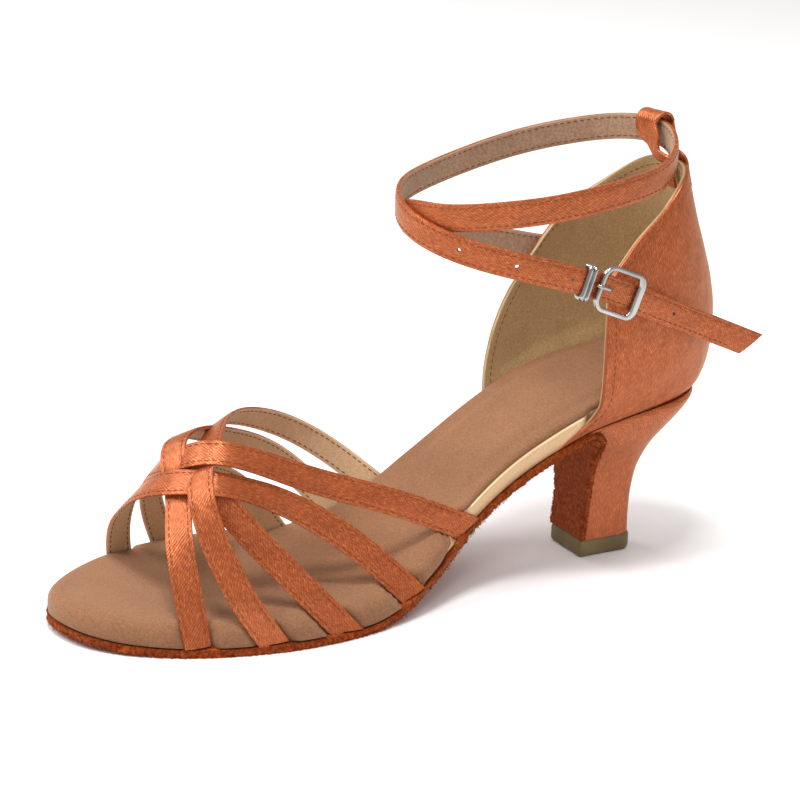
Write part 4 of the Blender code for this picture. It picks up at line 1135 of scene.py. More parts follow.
def rough_from(tree, shader, fac, low, high):
    """Roughness between two values, from a texture."""
    spread = node(tree, "ShaderNodeMapRange", To_Min=low, To_Max=high)
    tree.links.new(fac, spread.inputs["Value"])
    tree.links.new(spread.outputs["Result"], shader.inputs["Roughness"])


def make_satin(name, turn):
    """Polyester satin: slanted twill with grain flecks and painted sparkle, a peach gloss and soft crinkles.
    """
    material, tree, shader = material_of(
        name, SATIN_MID, 0.34, Anisotropic=0.45, Metallic=0.42, Sheen_Weight=0.04, Sheen_Roughness=0.4,
        Sheen_Tint=(1.0, 0.66, 0.38, 1), Specular_IOR_Level=1.0, Specular_Tint=(1.0, 0.80, 0.50, 1),
    )
    floats_and_sparkle = grain(tree, placed(tree, "UV", (2.6, 0.62, 1), turn), 3.0, 0.6)
    crinkle = grain(tree, placed(tree, "UV", (0.26, 0.16, 1), turn * 0.5), 2.0, 0.5)
    shade = grain(tree, placed(tree, "UV", (0.30, 0.12, 1), -turn), 2.0, 0.5)
    twill = node(
        tree, "ShaderNodeTexWave", wave_type="BANDS", bands_direction="X",
        Scale=0.42, Distortion=1.6, Detail=2.0, Detail_Scale=2.0,
    )
    tree.links.new(placed(tree, "UV", (1, 1, 1), turn + 0.1), twill.inputs["Vector"])
    ribs = twill.outputs["Fac"]
    # The light flecks of this ramp are painted sparkle as well as lighter yarn.
    colour = blended(tree, floats_and_sparkle, [(0.30, SATIN_DARK), (0.50, SATIN_MID), (0.72, SATIN_LIGHT)])
    ribbed = blended(tree, ribs, [(0.15, (0.80, 0.74, 0.70)), (0.85, (1.10, 1.10, 1.10))])
    tone = blended(tree, shade, [(0.34, (0.76, 0.70, 0.66)), (0.66, (1.0, 1.0, 1.0))])
    tinted = mixed(tree, mixed(tree, colour, ribbed, 0.8), tone, 0.7)
    tree.links.new(tinted, shader.inputs["Base Color"])
    rough_from(tree, shader, floats_and_sparkle, 0.27, 0.40)
    bumped(tree, shader, [(crinkle, 0.5, 0.0011), (ribs, 0.5, 0.00010), (floats_and_sparkle, 0.45, 0.00010)])
    tangent = node(tree, "ShaderNodeTangent", direction_type="UV_MAP")
    tangent.uv_map = "UVMap"
    tree.links.new(tangent.outputs["Tangent"], shader.inputs["Tangent"])
    return material


def make_nap(name, dark, middle, light, pile, depth, sheen, tint, mottle):
    """Suede or microsuede: short nap, brushed patches and a soft sheen."""
    material, tree, shader = material_of(
        name, middle, 0.92, Sheen_Weight=sheen, Sheen_Roughness=0.55, Sheen_Tint=(*tint, 1),
        Specular_IOR_Level=0.2,
    )
    fine = grain(tree, placed(tree, "Object", (pile, pile, pile)), 5.0, 0.7)
    brushed = grain(tree, placed(tree, "Object", (mottle, mottle * 1.6, mottle)), 3.0, 0.6)
    colour = blended(tree, fine, [(0.28, dark), (0.50, middle), (0.74, light)])
    patches = blended(tree, brushed, [(0.32, (0.84, 0.82, 0.80)), (0.68, (1.0, 1.0, 1.0))])
    tree.links.new(mixed(tree, colour, patches, 0.7), shader.inputs["Base Color"])
    bumped(tree, shader, [(brushed, 0.25, 0.0005), (fine, 0.7, depth)])
    return material


def make_gold():
    """The champagne wrap round the insole board, with a faint pearl and small scuffs."""
    material, tree, shader = material_of(
        "gold_wrap", GOLD, 0.42, Metallic=0.35, Coat_Weight=0.15, Coat_Roughness=0.3,
    )
    fine = grain(tree, placed(tree, "Object", (900, 900, 900)), 3.0, 0.6)
    broad = grain(tree, placed(tree, "Object", (45, 90, 120)), 3.0, 0.5)
    pearl = blended(tree, fine, [(0.3, (0.66, 0.45, 0.25)), (0.6, GOLD), (0.8, (0.86, 0.66, 0.44))])
    patches = blended(tree, broad, [(0.35, (0.88, 0.84, 0.80)), (0.65, (1, 1, 1))])
    tree.links.new(mixed(tree, pearl, patches, 0.6), shader.inputs["Base Color"])
    rough_from(tree, shader, broad, 0.34, 0.52)
    bumped(tree, shader, [(fine, 0.3, 0.00006), (broad, 0.2, 0.0005)])
    return material


def make_plain(name, dark, light, roughness, scale, distance, **sockets):
    """Plastic, thread or metal with fine wear and broad patches between a dark and a light colour; on the
    metal the patches are painted reflection.
    """
    material, tree, shader = material_of(name, light, roughness, **sockets)
    fine = grain(tree, placed(tree, "Object", (scale, scale, scale)), 4.0, 0.6)
    broad = grain(tree, placed(tree, "Object", (scale / 9, scale / 9, scale / 7)), 3.0, 0.5)
    tree.links.new(blended(tree, broad, [(0.3, dark), (0.7, light)]), shader.inputs["Base Color"])
    rough_from(tree, shader, fine, roughness * 0.8, roughness * 1.25)
    bumped(tree, shader, [(fine, 0.35, distance)])
    return material


def pushed(points):
    """Points of the sole that a strap presses on, moved in behind the strap."""
    points = np.array(points, float)
    for path, normals in STRAP_ENDS:
        _, side, out = axes_along(path, normals)
        for _ in range(2):
            far = np.linalg.norm(points[:, None, :] - path[None], axis=2)
            near = far.argmin(axis=1)
            close = far[np.arange(len(points)), near] < PRESS_REACH
            offset = points - path[near]
            across = np.abs((offset * side[near]).sum(1))
            rise = (offset * out[near]).sum(1)
            fade = 1 - ramp(across, STRAP_WIDTH / 2 + PRESS_EDGE, STRAP_WIDTH / 2 + PRESS_FADE)
            target = -STRAP_SHOWN / 2 - PRESS_GAP
            move = np.where(close & (rise > target), (rise - target) * fade, 0.0)
            points -= out[near] * move[:, None]
    return points


def layer_mesh(stations, levels, crosswise, lift=None):
    """The points and faces of a layer of the sole. Levels run up its side: each an inset and a height
    above the sole's top."""
    stations = np.asarray(stations, float)
    sides = [edge_points(stations, inset) for inset, _ in levels]
    heights = [np.broadcast_to(height, stations.shape) for _, height in levels]
    shares = np.linspace(0, 1, crosswise + 2)[1:-1]
    rings = []
    for i in range(len(stations)):
        up = [np.array([*sides[k][0][i], heights[k][i]]) for k in range(len(levels))]
        down = [np.array([*sides[k][1][i], heights[k][i]]) for k in range(len(levels))]
        ring = up + [up[-1] + (down[-1] - up[-1]) * s for s in shares]
        ring += down[::-1] + [down[0] + (up[0] - down[0]) * s for s in shares]
        rings.append(ring)
    flat = np.array(rings).reshape(-1, 3)
    kinds = ["side"] * len(levels) + ["top"] * crosswise + ["side"] * len(levels) + ["under"] * crosswise
    z = sole_top(flat[:, 0], flat[:, 1]) + flat[:, 2]
    points = np.stack([flat[:, 0], flat[:, 1], z], -1)
    if lift is not None:
        points[:, 2] += lift(points, np.tile(np.array(kinds), len(stations)))
    return points, capped(len(stations), len(rings[0]))


def in_cup(stations):
    """1 where the sole's layers lie inside the heel cup's wall, 0 ahead of it."""
    return 1 - ramp(stations, CUP_STATION, CUP_STATION + CUP_FADE)


def puckers(points, kinds):
    """The pad's soft unevenness, and the step round the heel pad that lies under the skin."""
    station = y_station(points[:, 1])
    inner = np.clip(station, 0.01, 0.99)
    half = (lateral(inner) - medial(inner)) / 2
    middle = (lateral(inner) + medial(inner)) / 2
    inwards = half - np.abs(points[:, 0] - middle)
    pad = ramp(inwards, PAD_INSET, PAD_INSET + PAD_SOFT)
    pad *= 1 - ramp(station, PAD_FRONT, PAD_FRONT + PAD_FADE)
    soft = np.array([noise_at(p * PUCKER_SCALE) for p in points]) * PUCKER_HEIGHT
    return np.where(kinds == "top", PAD_STEP * pad + soft, 0.0)


def make_sock(material):
    """The padded footbed: one skin of microsuede rolled over its edge, pressed in under the straps."""
    stations = spread_stations(0, 1, SOCK_STATIONS)
    under = np.where(stations < BOARD_FRONT + SOCK_OVER, board_height(stations) + 2 * GAP, GAP)
    waist = 1 - ramp(stations, BOARD_FULL, BOARD_FRONT)
    total = FOOTBED_FORE + (BOARD + 2 * GAP + FOOTBED_WAIST - FOOTBED_FORE) * waist
    thick = total - under
    inset = np.maximum(FOOTBED_WAIST_INSET * waist, (WALL + 2 * GAP) * in_cup(stations))
    base = inset - SOCK_OUT * (1 - waist)
    edge = FOOTBED_EDGE + (SOCK_WAIST_EDGE - FOOTBED_EDGE) * waist
    bulge = SOCK_BULGE * (1 - waist)
    levels = []
    for angle in np.linspace(0, math.pi / 2, SOCK_ROLL):
        height = SOCK_FOOT + (1 - SOCK_FOOT) * math.sin(angle) ** 0.9
        inward = (1 - math.cos(angle)) ** 1.35
        levels.append((base + edge * inward - bulge * math.sin(2 * angle), under + thick * height))
    levels.insert(0, (base + SOCK_TURN, under))
    points, faces = layer_mesh(stations, levels, SOCK_CROSSWISE, puckers)
    return smooth_mesh("sock", pushed(points), faces, [material], sharp=70)


def noise_at(point):
    """A smooth repeatable noise between -1 and 1."""
    return mathutils_noise.noise(Vector(point))


def make_gold_band(material):
    """The insole board's wrapped edge, which shows under the arch."""
    stations = np.append(spread_stations(0, BOARD_FRONT - BAND_END, BAND_STATIONS), BOARD_FRONT)
    forward = ramp(stations, BOARD_FULL + BAND_TAPER_START, BOARD_FRONT)
    inset = BOARD_INSET + (WALL + 2 * GAP) * in_cup(stations) + BOARD_TAPER * forward
    top = GAP + board_height(stations)
    soft = np.minimum(BAND_ROUND, BAND_ROUND_SHARE * board_height(stations))
    levels = []
    for angle in np.linspace(-math.pi / 2, math.pi / 2, BAND_ROLL):
        centre = GAP + soft if angle < 0 else top - soft
        levels.append((inset + soft * (1 - math.cos(angle)), centre + soft * math.sin(angle)))
    points, faces = layer_mesh(stations, levels, BAND_CROSSWISE)
    return smooth_mesh("gold_band", pushed(points), faces, [material], sharp=70)


def fuzz(points, strength, scale):
    """Small uneven shifts, as on a cut and brushed suede edge."""
    shift = [(noise_at(p * scale), noise_at(p * scale + 7.3), noise_at(p * scale + 13.1)) for p in points]
    return np.array(shift) * strength


def make_suede_sole(material):
    """The suede from the toe to the breast and down the heel's front, with a roughly cut edge."""
    _, start_y, _ = breast_arc()
    stations = spread_stations(1.0, float(y_station(start_y)), SUEDE_STATIONS)
    fore = ramp(stations, MARGIN_START, MARGIN_END)
    across = np.linspace(0, 1, SUEDE_ACROSS)
    rings = []
    left, right = edge_points(stations, -OUTSOLE_MARGIN * fore - SUEDE_SPREAD)
    for i in range(len(stations)):
        low = []
        high = []
        for share in across:
            x, y = left[i] + (right[i] - left[i]) * share
            top = float(sole_top(x, y))
            low.append((x, y, max(top - OUTSOLE * math.sqrt(1 + float(slope(y)) ** 2), SUEDE_LIFT)))
            high.append((x, y, top))
        rings.append(high + low[::-1])
    outer = breast_path(0.0, SUEDE_BREAST, SUEDE_FALLS)
    end_left, end_right = rings[-1][0][0], rings[-1][SUEDE_ACROSS - 1][0]
    for k in range(1, len(outer)):
        share = min(k / (SUEDE_BREAST - 1), 1.0)
        back = breast_path(OUTSOLE + (BREAST_FLAP - OUTSOLE) * share, SUEDE_BREAST, SUEDE_FALLS)[k]
        half = breast_half_width(*back) + SUEDE_OVER
        blend = ramp(share, 0.0, SUEDE_BLEND)
        lean = HEEL_TOP_SHIFT * heel_share(*back)
        a = end_left + (half + lean - end_left) * blend
        b = end_right + (-half + lean - end_right) * blend
        spans = [a + (b - a) * share for share in across]
        rings.append([(x, *back) for x in spans] + [(x, *outer[k]) for x in spans[::-1]])
    rings = np.array(rings)
    points = rings.reshape(-1, 3)
    edge = np.zeros(rings.shape[1])
    rim = np.zeros(rings.shape[1])
    for corner, inner in SUEDE_EDGES:
        edge[corner] = 1
        rim[[corner, inner]] = 1
    shift = fuzz(points, *CUT_FUZZ) * np.tile(edge, len(rings))[:, None]
    shift += fuzz(points, *RIM_FUZZ) * np.tile(rim, len(rings))[:, None]
    shift[:, 2] *= FUZZ_RISE
    points = points + shift
    points[:, 2] = np.maximum(points[:, 2], 0.0)
    piece = smooth_mesh("suede_sole", points, capped(*rings.shape[:2]), [material], sharp=80)
    return piece, rings


def make_fibres(rings, material):
    """Short loose fibres along the suede's cut edges."""
    random = np.random.default_rng(FIBRE_SEED)
    points = []
    faces = []
    for edge, inner in SUEDE_EDGES:
        line = rings[:, edge]
        out = line - rings[:, inner]
        out /= np.linalg.norm(out, axis=1)[:, None] + TINY
        for i in np.repeat(range(len(line) - 1), FIBRES):
            run = line[i + 1] - line[i]
            root = line[i] + run * random.random() - out[i] * FIBRE_ROOT
            run = run / (np.linalg.norm(run) + TINY)
            lean = out[i] * random.uniform(*FIBRE_OUT) + run * random.normal(0, FIBRE_ALONG)
            lean = unit(lean + np.array([0, 0, random.normal(0, FIBRE_UP)]))
            long = random.uniform(*FIBRE_LONG)
            thin = random.uniform(*FIBRE_THIN)
            side = unit(np.cross(lean, random.normal(size=3)))
            third = np.cross(lean, side)
            middle = root + lean * long * FIBRE_MIDDLE + side * random.normal(0, FIBRE_BEND)
            base = len(points)
            for centre, radius in ((root, thin), (middle, thin * 0.7), (root + lean * long, thin * 0.2)):
                for k in range(3):
                    angle = 2 * math.pi * k / 3
                    at = centre + radius * (side * math.cos(angle) + third * math.sin(angle))
                    points.append((at[0], at[1], max(at[2], FIBRE_LIFT)))
            faces += [tuple(base + v for v in face) for face in capped(3, 3)]
    return smooth_mesh("suede_fibres", points, faces, [material], sharp=80)


def make_heel(material):
    """The satin-covered heel block."""
    breast = breast_path(BREAST_FLAP + HEEL_SKIN, HEEL_BREAST, HEEL_FALLS)
    front = [(heel_share(y, z), y) for y, z in breast]
    front = sorted(p for p in front if p[0] <= HEEL_FRONT_END)
    front_y = even([p[0] for p in front], [p[1] for p in front])
    half = heel_curve(1, TIP_WIDTH)
    front_half = heel_curve(2, TIP_WIDTH)
    back = heel_curve(3, SEAT_BACK)
    squareness = heel_curve(4, 1.0)
    low = TIP_HEIGHT + HEEL_SEAM
    rings = []
    uvs = []
    for share in np.concatenate([np.linspace(0, HEEL_RINGS_END, HEEL_RINGS), HEEL_TOP_SHARES]):
        soft = HEEL_SOFT * max(0.0, (share - HEEL_SOFT_START) / (1 - HEEL_SOFT_START)) ** 2
        y_front = float(front_y(min(share, front[-1][0])))
        y_back = float(back(share)) - soft
        y_wide = y_front + (HEEL_WIDE + HEEL_WIDE_RISE * share) * (y_back - y_front)
        wide = float(half(share)) - soft
        narrow = min(float(front_half(share)), wide)
        outline = []
        for step in np.linspace(0, 0.9, HEEL_SIDE):
            x = narrow + (wide - narrow) * math.sin(math.pi / 2 * step)
            outline.append((x, y_front + (y_wide - y_front) * step))
        for angle in np.linspace(0, math.pi, HEEL_ROUND):
            c, s = squared(angle, float(squareness(share)))
            outline.append((wide * c, y_wide + (y_back - y_wide) * s))
        outline += [(-x, y) for x, y in outline[HEEL_SIDE - 1::-1]]
        outline += [(narrow * part, y_front) for part in (-0.5, 0.0, 0.5)]
        uvs += [(walk, share * HEEL_UV_HEIGHT) for walk in walked(np.array(outline))]
        ring = []
        for x, y in outline:
            x += HEEL_TOP_SHIFT * share
            ring.append((x, y, low + share * (float(sole_top(x, y)) - low)))
        rings.append(ring)
    return lofted("heel_cover", rings, material, uvs)


def make_tip(material):
    """The moulded top piece, with a fine rounded edge and a step where it meets the heel."""
    rings = []
    for z, shrink in TIP_LEVELS:
        ring = []
        for turn, (sign_x, sign_y) in enumerate(((1, 1), (-1, 1), (-1, -1), (1, -1))):
            radius = (TIP_CORNER if sign_y > 0 else TIP_FRONT_CORNER) - shrink / 2
            for angle in math.pi / 2 * (turn + np.linspace(0, 1, TIP_CORNER_POINTS)):
                x = sign_x * (TIP_WIDTH / 2 - shrink - radius) + radius * math.cos(angle)
                y = sign_y * (TIP_DEPTH / 2 - shrink - radius) + radius * math.sin(angle)
                ring.append((x, y, z))
        rings.append(ring)
    return lofted("top_piece", rings, material, sharp=50)


def make_quarters(materials):
    """The heel cup: satin outside, lining inside, and a rolled edge with the lining's pale line."""
    turns = np.sin(np.linspace(-math.pi / 2, math.pi / 2, CUP_TURNS)) * CUP_EASE
    turns += np.linspace(-1, 1, CUP_TURNS) * (1 - CUP_EASE)
    shares = np.concatenate([CUP_LOW_SHARES, np.linspace(0.028, 1, CUP_SHARES)])
    outer = np.array([[counter_point(t, s) for t in turns] for s in shares])
    inner = np.array([[counter_point(t, s, WALL) for t in turns] for s in shares])
    # The satin is turned under at the seam, so that its lower edge is round.
    for row, share in enumerate(CUP_LOW_SHARES):
        outer[row] += (inner[row] - outer[row]) * CUP_UNDER * (1 - share / CUP_UNDER_END) ** 2
    tall, wide = outer.shape[:2]
    rim = [(i, 0) for i in range(tall)] + [(tall - 1, k) for k in range(1, wide)]
    rim += [(i, wide - 1) for i in reversed(range(tall - 1))]
    points = list(outer.reshape(-1, 3)) + list(inner.reshape(-1, 3))
    around = walked(outer[tall // 2])
    uvs = [(around[k], outer[i, k, 2]) for i in range(tall) for k in range(wide)] * 2
    faces = []
    slots = []
    far = wide * tall
    for i in range(tall - 1):
        for k in range(wide - 1):
            a, b, c, d = i * wide + k, i * wide + k + 1, (i + 1) * wide + k + 1, (i + 1) * wide + k
            faces += [(a, b, c, d), (far + d, far + c, far + b, far + a)]
            slots += [SATIN, LINING]
    line = np.array([outer[place] for place in rim])
    lining_line = np.array([inner[place] for place in rim])
    inside = np.array([outer[min(i, tall - 2), min(max(k, 1), wide - 2)] for i, k in rim])
    away = line - inside
    away /= np.linalg.norm(away, axis=1)[:, None] + TINY
    spread = RIM_SMOOTHING // 2
    kernel = np.ones(RIM_SMOOTHING) / RIM_SMOOTHING
    away = [np.convolve(np.pad(away[:, i], spread, mode="edge"), kernel, "valid") for i in range(3)]
    away = unit(np.stack(away, -1))
    start = len(points)
    for outside, lining, out in zip(line, lining_line, away):
        points += [outside + (lining - outside) * share + out * rise for share, rise in RIM_PROFILE]
        uvs += [(0, 0)] * len(RIM_PROFILE)

    def over_rim(place):
        """The numbers of the points over the rim at one of its places, from the satin to the lining."""
        i, k = rim[place]
        rolled = [start + place * len(RIM_PROFILE) + p for p in range(len(RIM_PROFILE))]
        return [i * wide + k] + rolled + [far + i * wide + k]

    for place in range(len(rim) - 1):
        row, after = over_rim(place), over_rim(place + 1)
        faces += [(row[p], row[p + 1], after[p + 1], after[p]) for p in range(len(row) - 1)]
        slots += RIM_ZONES
    for k in range(wide - 1):
        faces.append((k, far + k, far + k + 1, k + 1))
        slots.append(LINING)
    faces += [tuple(over_rim(0)), tuple(reversed(over_rim(len(rim) - 1)))]
    slots += [SATIN, SATIN]
    piece = smooth_mesh("quarters", points, faces, materials, slots, uvs, sharp=60)
    return piece, line, away, unit(line - lining_line)


def sewn_on(piece, line, away):
    """A line of stitching on a piece's surface, inset from its edge."""
    mesh = piece.data
    tree = BVHTree.FromPolygons([v.co for v in mesh.vertices], [p.vertices for p in mesh.polygons])
    lengths = walked(line)
    points = []
    normals = []
    for value in np.linspace(lengths[-1] * SEAM_FIRST, lengths[-1] * SEAM_LAST, SEAM_POINTS):
        edge = at_length(value, lengths, line)
        place, normal, _, _ = tree.find_nearest(Vector(edge - at_length(value, lengths, away) * SEAM_INSET))
        points.append(place)
        normals.append(normal)
    return np.array(points), np.array(normals)


def bar(name, path, flat, sections, material, closed=False):
    """A metal bar along a path. flat is the normal of its plane and sections give each point's half
    sizes."""
    path = np.asarray(path, float)
    runs = np.roll(path, -1, axis=0) - np.roll(path, 1, axis=0) if closed else np.gradient(path, axis=0)
    rings = []
    for point, run, (wide, high) in zip(path, unit(runs), sections):
        side = unit(np.cross(run, flat))
        up = np.cross(side, run)
        turns = [squared(2 * math.pi * k / BAR_SIDES, BAR_SQUARENESS) for k in range(BAR_SIDES)]
        rings.append([point + side * c * wide + up * s * high for c, s in turns])
    faces = ring_faces(len(rings), BAR_SIDES, True) if closed else capped(len(rings), BAR_SIDES)
    return smooth_mesh(name, np.array(rings).reshape(-1, 3), faces, [material], sharp=60)


def refined(outline):
    """A closed outline through more points."""
    outline = np.array(outline)
    fine = []
    for a, b in zip(outline, np.roll(outline, -1, axis=0)):
        steps = max(1, int(np.linalg.norm(b - a) / OUTLINE_STEP))
        fine += [a + (b - a) * k / steps for k in range(steps)]
    return np.array(fine)


def make_buckle_frame(material):
    """The square frame, its far bar a little broader than the others."""
    centre, along, side, out = tail_place(0.0)
    rise = STRAP / 2 + GAP + BUCKLE_WIRE / 2
    path = rounded_frame(centre + out * rise, along, side, BUCKLE_LENGTH, BUCKLE_WIDTH, BUCKLE_CORNER, 10)
    sections = []
    shown = []
    for point in refined(path):
        place = (point - centre).dot(along)
        broad = BUCKLE_BROAD * float(ramp(place, BUCKLE_LENGTH / 2 - BUCKLE_BROAD_START, BUCKLE_LENGTH / 2))
        shown.append(point - along * broad)
        sections.append((BUCKLE_WIRE / 2 + broad, BUCKLE_WIRE / 2))
    return bar("dressed_buckle_frame", shown, out, sections, material, closed=True)


def make_prong_shown(material):
    """The tongue, wrapped round the near bar and bent down to its hole."""
    centre, along, side, out = tail_place(0.0)
    rise = STRAP / 2 + GAP + BUCKLE_WIRE / 2
    turn = BUCKLE_WIRE / 2 + PRONG_WIRE / 2
    near = -BUCKLE_LENGTH / 2
    path = []
    for angle in np.linspace(math.radians(215), math.radians(75), 13):
        path.append((near + turn * math.cos(angle), rise + turn * math.sin(angle)))
    path += [(near + run, rise + turn * share) for run, share in PRONG_FALL]
    path += [(place, STRAP / 2 + height) for place, height in PRONG_TIP]
    points = np.array([centre + along * a + out * b for a, b in path])
    points, _ = dense(points, np.tile(side, (len(points), 1)), PRONG_POINTS)
    half = PRONG_WIRE / 2
    thinner = [PRONG_TAPER * float(ramp(k, PRONG_TAPER_START, PRONG_POINTS - 1)) for k in range(PRONG_POINTS)]
    return bar("dressed_prong", points, side, [(half * (1 - less), half) for less in thinner], material)


def make_keeper_shown(material):
    """The metal slide: a thin band with two rounded ridges."""
    centre, along, side, out = tail_place(-KEEPER_AHEAD)
    wide = STRAP_WIDTH + 2 * GAP + KEEPER_WIRE
    thick = STRAP + 2 * GAP + KEEPER_WIRE
    middle = refined(rounded_frame(centre, side, out, wide, thick, KEEPER_CORNER, 8))
    outwards = unit(np.cross(along, np.roll(middle, -1, axis=0) - np.roll(middle, 1, axis=0)))
    if outwards[0].dot(middle[0] - centre) < 0:
        outwards = -outwards
    half = KEEPER_WIDTH / 2
    deep = KEEPER_WIRE / 2
    section = [(-half, -deep), (half, -deep)]
    for share in np.linspace(1, -1, 17):
        ridge = abs(math.sin(math.pi * share)) ** 0.6
        section.append((share * half, deep * ((1 + KEEPER_VALLEY) * ridge - KEEPER_VALLEY)))
    rings = []
    for point, outward in zip(middle, outwards):
        rings.append([point + along * a + outward * b for a, b in section])
    faces = ring_faces(len(rings), len(section), True)
    return smooth_mesh("dressed_keeper", np.array(rings).reshape(-1, 3), faces, [material], sharp=60)


def matrix_of(x, y, z, place):
    """The matrix that puts an object's axes and origin where they are given."""
    return Matrix((*zip(x, y, z, place), (0, 0, 0, 1)))


def make_ankle_strap_shown():
    """The ankle strap with its punched holes and both lines of stitching."""
    path, normals, _ = ankle_path()
    path, normals = dense(path, normals, ANKLE_POINTS)

    def slanted(rings):
        """The tail's end, cut at a slant."""
        run = unit(path[-1] - path[-2])
        for ring, point in zip(rings, path):
            share = max(0.0, 1 - np.linalg.norm(path[-1] - point) / TAIL_SLANT)
            high = (ring[:, 2] - point[2]) / STRAP_WIDTH
            ring += run * (TAIL_CUT * high * share)[:, None]

    strap = ribbon("ankle_strap_satin", path, normals, STRAP_WIDTH, STRAP, ANKLE_CLOTHS, reshape=slanted)
    radius = HOLE * HOLE_SHOWN
    for number, place in enumerate(HOLE_PLACES, 1):
        point, along, side, out = tail_place(place)
        build = bmesh.new()
        bmesh.ops.create_cone(build, cap_ends=True, segments=20, radius1=radius, radius2=radius, depth=0.008)
        tool_mesh = bpy.data.meshes.new("hole_tool")
        build.to_mesh(tool_mesh)
        build.free()
        tool_mesh.materials.append(ANKLE_CLOTHS[LINING])
        tool = bpy.data.objects.new("hole_tool_%d" % number, tool_mesh)
        tool.matrix_world = matrix_of(side, along, out, point)
        TOOLS.objects.link(tool)
        tool.hide_render = True
        cut = strap.modifiers.new("hole", "BOOLEAN")
        cut.operation = "DIFFERENCE"
        cut.object = tool
    lines = strap_lines(path, normals, STRAP_WIDTH, STRAP, skip=8)
    return strap, stitches("ankle_strap_stitches", lines, THREAD)


def area(name, place, target, size, power):
    """A soft rectangular lamp that faces its target."""
    light = bpy.data.lights.new(name, "AREA")
    light.shape = "RECTANGLE"
    light.size, light.size_y = size
    light.energy = power
    lamp = bpy.data.objects.new(name, light)
    lamp.location = place
    lamp.rotation_euler = (Vector(target) - Vector(place)).to_track_quat("-Z", "Y").to_euler()
    bpy.context.scene.collection.objects.link(lamp)


def set_stage():
    """Camera at the photograph's angle, a white floor, a bright sky and soft studio lamps."""
    camera = bpy.data.cameras.new("camera")
    camera.sensor_width = 36
    camera.lens = 111.23
    camera.clip_start = 0.05
    seat = bpy.data.objects.new("camera", camera)
    seat.matrix_world = matrix_of(*CAMERA_AXES, CAMERA_PLACE)
    bpy.context.scene.collection.objects.link(seat)
    bpy.context.scene.camera = seat
    floor_mesh = bpy.data.meshes.new("floor")
    floor_mesh.from_pydata([(-6, -6, 0), (6, -6, 0), (6, 6, 0), (-6, 6, 0)], [], [(0, 1, 2, 3)])
    floor = bpy.data.objects.new("floor", floor_mesh)
    bpy.context.scene.collection.objects.link(floor)
    white, _, _ = material_of("floor_white", (0.93, 0.925, 0.92), 0.7, Specular_IOR_Level=0.1)
    floor_mesh.materials.append(white)
    world = bpy.data.worlds.new("studio")
    world.use_nodes = True
    sky = world.node_tree.nodes["Background"]
    sky.inputs["Color"].default_value = (1.0, 0.995, 0.99, 1)
    sky.inputs["Strength"].default_value = 0.56
    bpy.context.scene.world = world
    for row in LAMPS:
        area(*row)
    bpy.context.scene.view_settings.view_transform = "Standard"


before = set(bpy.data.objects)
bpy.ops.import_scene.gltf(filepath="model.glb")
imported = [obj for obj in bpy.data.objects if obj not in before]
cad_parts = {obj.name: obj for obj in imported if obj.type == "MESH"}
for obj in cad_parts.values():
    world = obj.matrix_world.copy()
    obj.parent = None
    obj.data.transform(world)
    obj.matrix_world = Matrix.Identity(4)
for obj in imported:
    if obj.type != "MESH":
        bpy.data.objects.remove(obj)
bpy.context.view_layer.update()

TOOLS = bpy.data.collections.new("tools")
bpy.context.scene.collection.children.link(TOOLS)

SATIN_STRAP = make_satin("satin_strap", 0.62)
SATIN_CUP = make_satin("satin_cup", 0.45)
CUP_LINING, VAMP_LINING, ANKLE_LINING, SOCK_CLOTH, SUEDE = [make_nap(*row) for row in NAPS]
PALE_EDGE, ANKLE_EDGE, CUP_EDGE = [
    make_plain(*row, 0.7, 900, 0.00008, Specular_IOR_Level=0.3) for row in EDGES
]
GOLD_WRAP = make_gold()
TIP_PLASTIC = make_plain(
    "tip_plastic", (0.100, 0.066, 0.018), (0.185, 0.130, 0.044), 0.42, 700, 0.00006, Specular_IOR_Level=0.5,
)
THREAD = make_plain(
    "thread", (0.17, 0.044, 0.012), (0.28, 0.080, 0.024), 0.7, 1500, 0.00005, Specular_IOR_Level=0.2,
)
# The metal's darkened colours and their broad dark patches are painted reflection of dark surroundings.
METAL = make_plain("metal", (0.32, 0.31, 0.30), (0.58, 0.57, 0.56), 0.13, 500, 0.00002, Metallic=1.0)
VAMP_CLOTHS = [SATIN_STRAP, PALE_EDGE, VAMP_LINING]
ANKLE_CLOTHS = [SATIN_STRAP, ANKLE_EDGE, ANKLE_LINING]

STRAP_ENDS = []
VAMP_PATHS = []
for row in VAMP_STRAPS:
    path, normals = dense(*strap_path(row), VAMP_POINTS)
    VAMP_PATHS.append((row[0], path, normals))
    STRAP_ENDS.append((path[:PRESSED_POINTS], normals[:PRESSED_POINTS]))
    STRAP_ENDS.append((path[-PRESSED_POINTS:], normals[-PRESSED_POINTS:]))


def dress(piece, slot, *nodes):
    """A piece that rides on the root, with the nodes that it replaces hidden. slot is not used."""
    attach(piece, "root")
    if nodes:
        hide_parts(*nodes)
    return piece


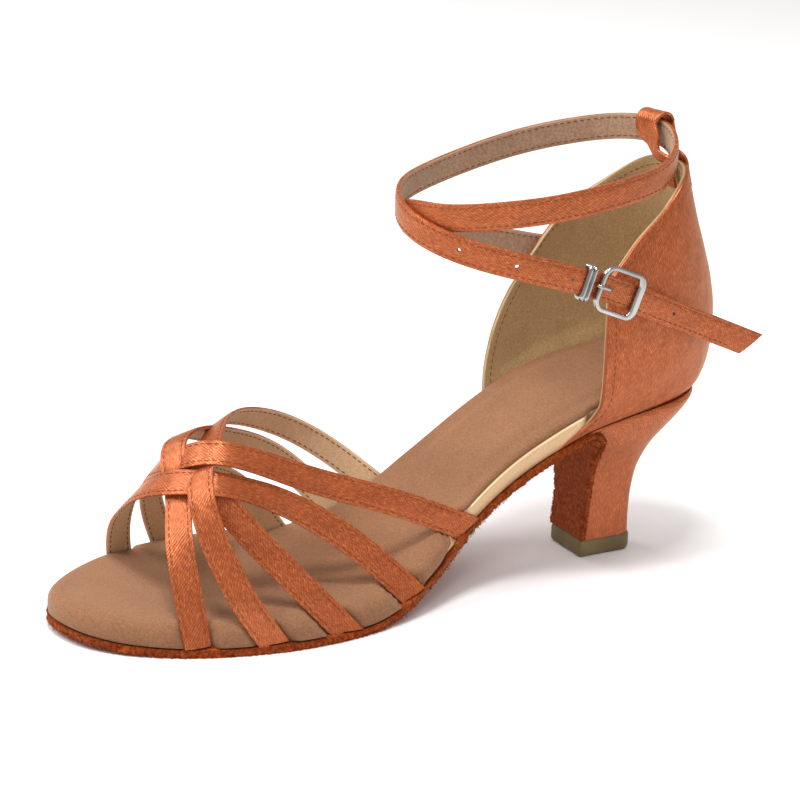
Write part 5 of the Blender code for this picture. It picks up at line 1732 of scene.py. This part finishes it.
dress(make_tip(TIP_PLASTIC), "heel_tip_plastic", "heel_tip")
dress(make_heel(SATIN_CUP), "satin", "heel_block")
suede_sole, suede_rings = make_suede_sole(SUEDE)
dress(suede_sole, "sole_suede", "outsole")
dress(make_fibres(suede_rings, SUEDE), "sole_suede")
dress(make_gold_band(GOLD_WRAP), "gold_board_wrap", "insole_board")
dress(make_sock(SOCK_CLOTH), "sock_microsuede", "footbed")

sewn_lines = []
for index, (name, path, normals) in enumerate(VAMP_PATHS):
    ends = (trim_to_sole, trim_to_sole)
    strap = ribbon("strap_" + name, path, normals, STRAP_WIDTH, STRAP_SHOWN, VAMP_CLOTHS, ends)
    if index == 0:
        dress(strap, "satin", "vamp_straps")
    else:
        dress(strap, "satin")
    sewn_lines += strap_lines(path, normals, STRAP_WIDTH, STRAP_SHOWN)
dress(stitches("vamp_stitches", sewn_lines, THREAD), "satin")

quarters, quarter_line, quarter_away, quarter_turn = make_quarters([SATIN_CUP, CUP_EDGE, CUP_LINING])
dress(quarters, "satin", "counter")
edge_sewing = sewn_on(quarters, quarter_line, quarter_away)
lining_sewing = sewn_on(quarters, quarter_line - quarter_turn * WALL, quarter_away)
dress(stitches("quarter_stitches", [edge_sewing, lining_sewing], THREAD), "satin")

ankle, ankle_sewing = make_ankle_strap_shown()
dress(ankle, "satin", "ankle_strap")
dress(ankle_sewing, "satin")

loop, loop_normals = dense(*loop_path(), LOOP_POINTS)
loop_widths = 0.38 + 0.54 * ramp(loop[:, 2], COUNTER_TOP + 0.001, LOOP_TOP - 0.003)
loop_piece = ribbon(
    "strap_loop", loop, loop_normals, LOOP_WIDTH, STRAP * 0.7, [SATIN_STRAP] * 3, widths=loop_widths,
)
dress(loop_piece, "satin", "back_loop")

centre, along, side, out = tail_place(0.0)
tab_rows = np.array([
    centre + along * (TAB_START + TAB_LENGTH * s) - out * TAB_LAY - side * TAB_DROP * float(ramp(s, 0.0, 1.0))
    for s in np.linspace(0, 1, TAB_POINTS)
])
tab_normals = np.tile(out, (TAB_POINTS, 1))
tab = ribbon("tab_under_tail", tab_rows, tab_normals, TAB_WIDTH, TAB_THICK, ANKLE_CLOTHS)
dress(tab, "satin", "buckle_tab")
dress(make_buckle_frame(METAL), "polished_metal", "buckle_frame")
dress(make_prong_shown(METAL), "polished_metal", "buckle_prong")
dress(make_keeper_shown(METAL), "polished_metal", "strap_keeper")

set_stage()
